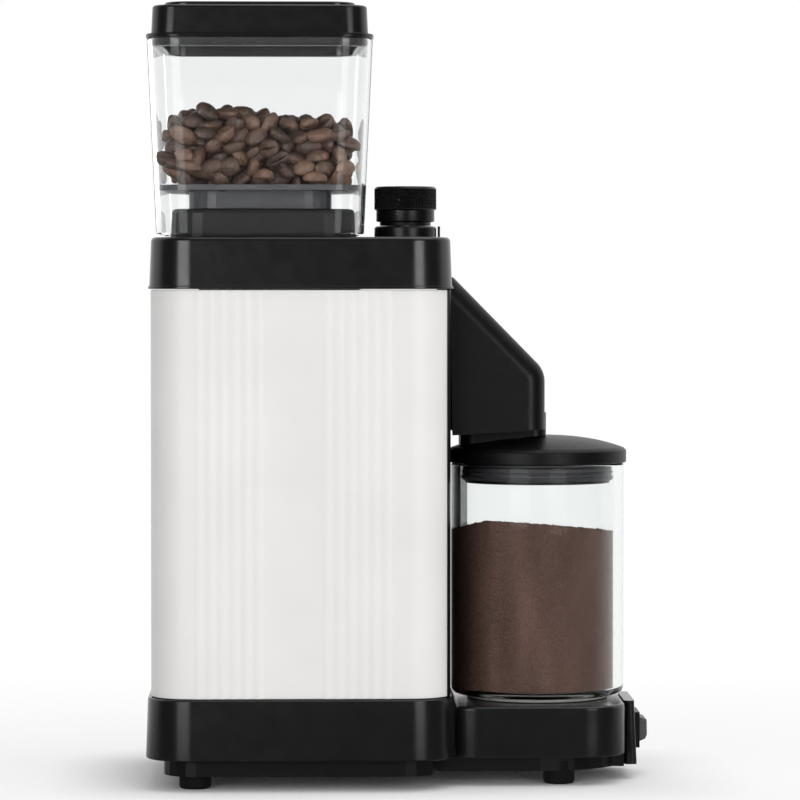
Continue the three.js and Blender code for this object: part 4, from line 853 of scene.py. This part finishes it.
class GRINDER_OT_hopper(bpy.types.Operator):
    """Clear hopper, its dark floor and the beans in it"""

    bl_idname = "grinder.hopper"
    bl_label = "Hopper"

    def execute(self, context):
        sizes = context.scene.grinder_hopper
        bottom, top = low("hopper"), high("hopper")
        foot, mouth = 89.9, high("hopper", 0) - low("hopper", 0)

        def outline(inset, z):
            side = foot + (mouth - foot) * (z - bottom) / (top - bottom)
            return square(HOPPER_X, side - 2 * inset, sizes.corner - inset)

        wall, lip = sizes.wall, 0.5
        levels = np.linspace(bottom + lip, top - lip, 7)
        rows = [(outline(0.0, z), z) for z in levels]
        rows += [(outline(lip * 0.3, top), top - lip * 0.3), (outline(lip, top), top),
                 (outline(wall - lip, top), top), (outline(wall - lip * 0.3, top), top - lip * 0.3)]
        rows += [(outline(wall, z), z) for z in levels[::-1]]
        rows += [(outline(wall - lip, bottom), bottom), (outline(lip, bottom), bottom)]
        solid("hopper_glazing", *skin(rows, closed=True), "hopper_assembly", "clear",
              "clear_plastic", ["hopper"])
        made_of("hopper_floor", "floor")
        if sizes.filled:
            self.beans(sizes)
        return {"FINISHED"}

    def beans(self, sizes):
        """Beans on jittered layers below a heap that is highest a little behind the middle.
        Those that are too near each other then push apart, and the four flat walls hold them
        in. The rounded corners aren't allowed for, so a tip there can run into the wall."""
        random = np.random.default_rng(11)
        length = sizes.bean_length
        near, reach = length * 0.66, length * 0.33

        def room(z):
            """Half the hopper's inside at height z: its walls lean out by a twentieth."""
            return 42.4 + (z - low("hopper")) * 0.05

        def crowded(spots):
            """Distance past a block 13 mm inside the walls: the layers start clear of corners."""
            return np.hypot(*np.maximum(np.abs(spots[:, :2]) - (room(spots[:, 2:]) - 13), 0).T)

        across = np.arange(-40, 40.1, length * 0.7)
        layers = []
        for level in range(10):
            x, y = np.meshgrid(across + near / 2 * (level % 2), across + near / 3 * (level % 3))
            spots = np.column_stack((x.ravel(), y.ravel(), np.zeros(x.size)))
            spots += random.uniform(-1, 1, spots.shape) * (2.4, 2.4, 1.3)
            spots[:, 2] += high("hopper_floor") + 3.0 + level * length * 0.4
            heap = np.interp(spots[:, 0], HEAP_X, HEAP_Z) - 3.5 * (spots[:, 1] / 44) ** 2
            layers.append(spots[(crowded(spots) < 9) & (spots[:, 2] < heap - 3.2)])
        spots = np.concatenate(layers)
        spots = spots[np.sort(random.permutation(len(spots))[:max(sizes.beans, 0)])]
        for _ in range(40):
            apart = (spots[:, None] - spots[None]) * (1, 1, 1.4)
            away = np.linalg.norm(apart, axis=2) + np.eye(len(spots)) * 99
            push = np.clip(near - away, 0, None) / away * 0.25
            spots += (apart * push[..., None]).sum(axis=1) * (1, 1, 0.4)
            edge = room(spots[:, 2:]) - reach
            spots[:, :2] = np.clip(spots[:, :2], -edge, edge)
        count = len(spots)
        shape, faces, crease = bean_shape()
        turn, tip, roll = (random.uniform(0, TAU, count), random.normal(0, 0.45, count),
                           random.uniform(0, TAU, count))
        scale = length * random.uniform(0.88, 1.08, count)
        points = shape[None] * scale[:, None, None]

        def spin(angle, a, b):
            cos, sin = np.cos(angle)[:, None], np.sin(angle)[:, None]
            first, second = points[..., a].copy(), points[..., b].copy()
            points[..., a], points[..., b] = first * cos - second * sin, first * sin + second * cos

        spin(roll, 1, 2)
        spin(tip, 0, 2)
        spin(turn, 0, 1)
        points += spots[:, None]
        outside = np.abs(points[..., :2]) - room(points[..., 2:])
        side = np.sign(spots[:, None, :2])
        points[..., :2] -= side * np.maximum(outside, 0).max(axis=1, keepdims=True)
        points[..., 0] += HOPPER_X
        total = len(shape)
        index = (np.array(faces)[None] + (np.arange(count) * total)[:, None, None]).reshape(-1, 4)
        heap = solid("coffee_beans", points.reshape(-1, 3), index.tolist(), "hopper_assembly",
                     "bean", "dark_grey", smooth=60, tidy=False)
        # The crease values carry painted shade, darkening the slot in each bean's flat side
        for key, values in (("tone", np.repeat(random.uniform(0, 1, count), total)),
                            ("crease", np.tile(crease, count))):
            heap.data.attributes.new(key, "FLOAT", "POINT").data.foreach_set("value", values)


class GRINDER_OT_lid(bpy.types.Operator):
    """Hopper lid with its raised panel, and the gasket that seals it"""

    bl_idname = "grinder.lid"
    bl_label = "Lid"

    def execute(self, context):
        corner = context.scene.grinder_hopper.lid_corner
        bottom, top = low("hopper_lid"), high("hopper_lid")
        side = high("hopper_lid", 0) - low("hopper_lid", 0)
        flange, body, panel = 322.4, 336.3, 82.0  # heights of both, and the raised panel's side
        rows = [(60.0, bottom + 9.0, 6.0), (84.0, bottom + 9.0, 9.0), (84.6, bottom + 0.4, 9.3),
                (85.2, bottom, 9.6), (92.0, bottom, 12.5), (93.0, bottom + 0.5, 13.0),
                (93.0, flange, 13.0),
                (side - 0.6, flange, 14.7), (side, flange + 0.4, 15.0), (side, flange + 1.3, 15.0),
                (side - 0.5, flange + 1.8, 14.8), (93.3, flange + 1.9, corner)]
        rows += [(s, z, corner - (92.3 - s) / 2) for s, z in bend(92.3, body, 2.4, 1.2, 8)]
        rows += [(82.6, body, corner), (panel, body + 0.3, corner)]
        rows += [(s, z, corner) for s, z in bend(panel, top, 1.6, 0.8, 8)]
        solid("lid_top", *skin([(square(HOPPER_X, s, r), z) for s, z, r in rows]),
              "lid_assembly", "gloss", "gloss_black", ["hopper_lid"])
        made_of("lid_gasket", "silicone")
        return {"FINISHED"}


KNURL_STEPS = 792
GRIP_Z, GRIP_HEIGHT = 249.5, 9.0


def knurled(radius, z, height, teeth=58):
    """Radius of a diamond knurl at angle t and height z: two crossed helical wave sets,
    the lower of the two, fading out within half a millimetre of each end."""
    angles = np.arange(KNURL_STEPS) * TAU / KNURL_STEPS
    lead = teeth * z / radius * 0.9
    one = np.abs(np.sin((teeth * angles + lead) / 2))
    two = np.abs(np.sin((teeth * angles - lead) / 2))
    fade = np.clip(min(z, height - z) / 0.5, 0, 1)
    r = radius - 0.55 * fade * (1 - np.minimum(one, two))
    return np.column_stack((KNOB_X + r * np.cos(angles), r * np.sin(angles)))


class GRINDER_OT_knob(bpy.types.Operator):
    """Grind knob with a diamond knurl round its rim"""

    bl_idname = "grinder.knob"
    bl_label = "Knob"

    def execute(self, context):
        bottom, top, radius = low("knob"), high("knob"), half_width("knob")
        stem, shoulder = 11.25, 12.8
        lower = softened([(9.0, bottom, 0), (stem, bottom, 0.2), (stem, GRIP_Z - 5.6, 0.2),
                          (shoulder, GRIP_Z - 5.3, 0.3), (shoulder, GRIP_Z - 0.6, 0.3),
                          (shoulder + 0.2, GRIP_Z - 0.3, 0)], 3)
        rows = [(ring(KNOB_X, 0, r, KNURL_STEPS), z) for r, z in lower]
        rows += [(knurled(radius, z, GRIP_HEIGHT), GRIP_Z + z)
                 for z in np.linspace(0, GRIP_HEIGHT, 64)]
        upper = softened([(radius - 0.1, GRIP_Z + GRIP_HEIGHT + 0.1, 0), (radius - 0.9, top, 0.5),
                          (radius - 2.2, top, 0.2), (radius - 2.6, top - 0.4, 0.2),
                          (0.0, top - 0.4, 0)], 3)
        rows += [(ring(KNOB_X, 0, r, KNURL_STEPS), z) for r, z in upper]
        solid("knob_grip", *skin(rows), "knob_assembly", "anodised", "black_anodised", ["knob"],
              smooth=28)
        return {"FINISHED"}


def domed(radius):
    """Height of the jar lid's dome: the crown less 5.9 mm times (radius / rim) to 2.6."""
    return high("jar_lid") - 5.9 * np.clip(radius / half_width("jar_lid"), 0, 1) ** 2.6


class GRINDER_OT_chute(bpy.types.Operator):
    """Chute that carries the grounds to the jar"""

    bl_idname = "grinder.chute"
    bl_label = "Chute"

    def execute(self, context):
        rear, front = low("chute_housing", 0), high("chute_housing", 0)
        half = high("chute_housing", 1)
        edge, elbow, lip = 8.0, 179.0, 153.4
        path = softened([(rear + 1.6, high("chute_housing"), 0), (front, elbow, 11.7),
                         (front, lip, 0)], 12)
        tangent = np.gradient(path, axis=0)
        normal = np.column_stack((-tangent[:, 1], tangent[:, 0]))
        normal /= np.linalg.norm(normal, axis=1)[:, None]
        back = np.array([(rear, high("chute_housing") - 0.5), (rear, lip - 2.4),
                         (front - 1, lip - 0.1)])
        legs, spans = (np.cumsum(np.linalg.norm(np.diff(line, axis=0, prepend=line[:1]), axis=1))
                       for line in (back, path))
        at = spans / spans[-1] * legs[-1]
        inner = np.column_stack((np.interp(at, legs, back[:, 0]), np.interp(at, legs, back[:, 1])))
        over = bend(half, 0, edge, edge, 9)
        columns = [(inner, -half)] + [(path + normal * down, -y) for y, down in over]
        columns += [(path + normal * down, y) for y, down in over[::-1]] + [(inner, half)]
        points = np.concatenate([at_depth(column, y) for column, y in columns])
        faces = net(len(columns), len(path), round_columns=False)
        solid("chute_cover", points, faces, "housing", "spark", "matt_black", ["chute_housing"])
        self.outlet()
        return {"FINISHED"}

    def outlet(self):
        """The outlet under the chute: a rounded tube whose lower end is cut to the dome of the
        jar's lid, half a millimetre above it."""
        node = "chute_outlet"
        x0, x1, top = low(node, 0) + 1.5, high(node, 0), high(node)
        rows = []
        for inset, level in ((0.0, 0), (0.0, 1), (2.0, 1), (2.0, 0)):
            plan = rounded((x0 + x1) / 2, 0, x1 - x0 - 2 * inset, 32 - 2 * inset, 6 - inset)
            foot = domed(np.hypot(plan[:, 0] - JAR_X, plan[:, 1])) + 0.5
            rows.append(np.column_stack((plan, np.full(len(plan), top) if level else foot)))
        solid("outlet_skirt", *loft(rows, closed=True), "housing", "spark", "matt_black", [node])


class GRINDER_OT_jar(bpy.types.Operator):
    """Glass jar with its lid, its seal and the ground coffee"""

    bl_idname = "grinder.jar"
    bl_label = "Jar"

    def execute(self, context):
        sizes = context.scene.grinder_jar
        bottom, top, radius = low("jar"), high("jar"), half_width("jar")
        inner, floor = radius - sizes.wall, bottom + 2.1
        profile = softened([(0, bottom + 0.8, 0), (radius - 8, bottom + 0.8, 0.8),
                            (radius - 6.5, bottom, 0.8), (radius, bottom, sizes.heel),
                            (radius, top, 1.0), (inner, top, 1.0), (inner, floor, sizes.heel / 2),
                            (0, floor, 0)], 8)
        solid("jar_glass", *turned(profile, JAR_X, 0, 144), "jar_assembly", "glass",
              "clear_glass", ["jar"])
        rim, lid_top, lid = low("jar_lid"), high("jar_lid"), half_width("jar_lid")
        skirt, shoulder, plug_inner, plug_outer = 138.3, 143.6, 29.5, 32
        hole_radius, hole_shift = 11.0, 15.5
        dome = [(r, float(domed(r))) for r in np.linspace(lid - 1.2, 0, 26)]
        profile = softened([(0, rim + 3, 0), (plug_inner, rim + 3, 0.3), (plug_inner, rim, 0.5),
                            (plug_outer, rim, 0.5), (plug_outer, skirt, 0.3),
                            (lid - 0.4, skirt, 0), (lid, skirt + 0.4, 0), (lid, shoulder, 0.9),
                            (*dome[0], 0)], 4).tolist() + dome[1:]
        cover = solid("jar_cover", *turned(profile, JAR_X, 0, 144), "jar_assembly", "grained",
                      "gloss_black", ["jar_lid"])
        hole = [(hole_radius, rim - 2), (hole_radius, lid_top + 2)]
        pierce(cover, *turned(hole, JAR_X - hole_shift, 0, 64))
        node = "jar_seal"
        outer = half_width(node)
        z0, z1 = low(node), high(node)
        profile = softened([(32.3, z0, 0), (32.9, z0, 0.2), (outer, z0 + 1.4, 0.3),
                            (32.8, z0 + 1.9, 0.3), (32.8, z0 + 2.9, 0.2),
                            (outer, z0 + 3.4, 0.3), (32.8, z0 + 4.0, 0.3), (32.8, z1, 0.2),
                            (32.3, z1, 0)], 3)
        solid("jar_gasket", *turned(profile, JAR_X, 0, 144, closed=True), "jar_assembly",
              "silicone", "grey_rubber", [node])
        if context.scene.grinder_hopper.filled and sizes.fill > floor + 10:
            self.grounds(sizes, inner - 0.25, floor + 0.1)
        return {"FINISHED"}

    def grounds(self, sizes, radius, floor):
        """Coffee pressed against the glass on the tower's side: its top rises to a crest left of
        the middle, falls evenly from the front to the back, and random crumbs roughen it."""
        random = np.random.default_rng(5)
        heel = sizes.heel / 2
        wall = [(0.02, floor), (radius - heel, floor)]
        wall += [(radius - heel * (1 - math.cos(a)), floor + heel * (1 + math.sin(a)))
                 for a in np.linspace(-math.pi / 2, 0, 8)]
        wall += [(radius, z) for z in np.linspace(floor + heel + 1, sizes.fill - 8, 20)]
        rows = [at_height(ring(0, 0, r, 360), z) for r, z in wall]
        for share in np.linspace(1, 0.001, 48):
            plan = ring(0, 0, radius * share, 360)
            level = sizes.fill - 2.6 * (1 + plan[:, 1] / radius)
            level += np.interp(plan[:, 0] / radius, (-1, -0.65, 1), (-1.6, 1.0, -3.4))
            level += random.normal(0, 0.4, 360) * min(1, share * 3)
            rows.append(np.column_stack((plan, level)))
        points, faces = loft(rows)
        solid("ground_coffee", points + (JAR_X - 0.4, 0, 0), faces, "jar_assembly", "grounds",
              "dark_grey", smooth=180)


class GRINDER_OT_inside(bpy.types.Operator):
    """Motor, burrs, gears and circuit board: finishes for the parts that stay as they are"""

    bl_idname = "grinder.inside"
    bl_label = "Inside"

    def execute(self, context):
        finishes = {
            "cast": ["burr_housing", "motor_plate", "motor_end_cap", "grinding_disc"],
            "steel": ["motor_can", "upper_bearing", "lower_bearing", "motor_shaft", "burr_nut",
                      "knob_spindle", "frame_post_rear_right", "frame_post_rear_left",
                      "frame_post_front_right", "frame_post_front_left"],
            "burr": ["upper_burr", "lower_burr"],
            "nylon": ["adjusting_ring", "knob_pinion", "upper_burr_carrier", "cooling_fan"],
            "windings": ["motor_stator", "rotor_core"],
            "board": ["control_board"],
            "spark": ["board_relay", "switch_case"],
            "anodised": ["board_capacitor"],
        }
        for name, nodes in finishes.items():
            for node in nodes:
                made_of(node, name)
        return {"FINISHED"}


def aimed(name, data, place_at, aim):
    """A lamp or a camera at one point in metres, aimed at another."""
    made = linked(name, data)
    made.location = place_at
    made.rotation_euler = (Vector(aim) - Vector(place_at)).to_track_quat("-Z", "Y").to_euler()
    return made


def panel_of_light(name, place_at, wide, tall, watts):
    """A soft box: an area lamp aimed at the middle of the grinder."""
    lamp = bpy.data.lights.new(name, "AREA")
    lamp.shape, lamp.size, lamp.size_y, lamp.energy = "RECTANGLE", wide, tall, watts
    return aimed(name, lamp, place_at, (0.0, 0.0, 0.16))


class GRINDER_OT_studio(bpy.types.Operator):
    """Pale floor and backdrop, soft boxes left, right and above, a fill behind, and the camera"""

    bl_idname = "grinder.studio"
    bl_label = "Studio"

    def execute(self, context):
        scene = context.scene
        scene.view_settings.view_transform = "Standard"
        self.floor()
        self.world(scene)
        panel_of_light("left_box", (-0.76, -1.6, 0.22), 0.9, 0.8, 12)
        panel_of_light("right_box", (0.80, -1.58, 0.22), 0.72, 0.8, 9.5)
        panel_of_light("top_box", (0.5, -0.3, 1.8), 1.6, 1.6, 13)
        back = panel_of_light("back_box", (-1.1, 1.7, 0.8), 1.2, 1.2, 7)
        back.visible_glossy = False
        camera = bpy.data.cameras.new("camera")
        camera.lens, camera.sensor_width = 175.83, 36.0
        scene.camera = aimed("camera", camera, ((TOWER_X + 2.07) * MM, -1.7224, 0.21436),
                             ((TOWER_X + 43.65) * MM, 0, 0.1656))
        return {"FINISHED"}

    def floor(self):
        """A flat sheet of paper, 6 m square."""
        x, y = np.meshgrid(np.linspace(-3, 3, 25), np.linspace(-3, 3, 25))
        mesh = bpy.data.meshes.new("floor")
        mesh.from_pydata(np.column_stack((x.ravel(), y.ravel(), np.zeros(x.size))).tolist(), [],
                         net(25, 25, round_columns=False))
        mesh.materials.append(finished("paper"))
        made = linked("floor", mesh)

    def world(self, scene):
        """A room whose wall behind the grinder is white and whose other side is dim: gloss shows
        that, the camera sees plain white, also through clear walls, and the rest is dim light
        that grows towards the grinder's front end."""
        world = bpy.data.worlds.new("studio")
        world.use_nodes = True
        tree = world.node_tree
        room = tree.nodes["Background"]
        room.inputs["Color"].default_value = linear("#FFFFFF")
        where = add(tree, "TexCoord").outputs["Generated"]
        along = add(tree, "SeparateXYZ", links={0: where}).outputs
        glow = add(tree, "MapRange", {"From Min": -1.0, "To Min": 0.08, "To Max": 0.72},
                   {"Value": along["X"]}).outputs[0]
        rays = add(tree, "LightPath").outputs
        lit = add(tree, "Mix",
                  links={0: rays["Is Diffuse Ray"], 2: dim_to_white(tree, along["Y"]),
                         3: glow}).outputs[0]
        seen = add(tree, "Mix", {3: 1.0}, {0: seen_plainly(tree, rays), 2: lit}).outputs[0]
        tree.links.new(seen, room.inputs["Strength"])
        scene.world = world


STEPS = (GRINDER_OT_studio, GRINDER_OT_inside, GRINDER_OT_tower, GRINDER_OT_base,
         GRINDER_OT_tray, GRINDER_OT_cap, GRINDER_OT_hopper, GRINDER_OT_lid, GRINDER_OT_knob,
         GRINDER_OT_chute, GRINDER_OT_jar)


class GRINDER_PT_sidebar(bpy.types.Panel):
    """Buttons for the grinder's pieces, with their sizes and colours below"""

    bl_label = "Burr Coffee Grinder"
    bl_idname = "GRINDER_PT_sidebar"
    bl_space_type = "VIEW_3D"
    bl_region_type = "UI"
    bl_category = "Grinder"

    def draw(self, context):
        column = self.layout.column(align=True)
        for step in STEPS:
            column.operator(step.bl_idname)
        for group in ("grinder_body", "grinder_hopper", "grinder_jar"):
            sizes = getattr(context.scene, group)
            box = self.layout.box()
            for key in sizes.__annotations__:
                box.prop(sizes, key)


SIZES = {"grinder_body": GrinderBodySizes, "grinder_hopper": GrinderHopperSizes,
         "grinder_jar": GrinderJarSizes}


def register():
    for kind in (*SIZES.values(), *STEPS, GRINDER_PT_sidebar):
        bpy.utils.register_class(kind)
    for name, kind in SIZES.items():
        setattr(bpy.types.Scene, name, bpy.props.PointerProperty(type=kind))


def unregister():
    for name in SIZES:
        delattr(bpy.types.Scene, name)
    for kind in reversed((*SIZES.values(), *STEPS, GRINDER_PT_sidebar)):
        bpy.utils.unregister_class(kind)


def main():
    register()
    for step in STEPS:
        prefix, name = step.bl_idname.split(".")
        getattr(getattr(bpy.ops, prefix), name)()


if __name__ == "__main__":
    main()
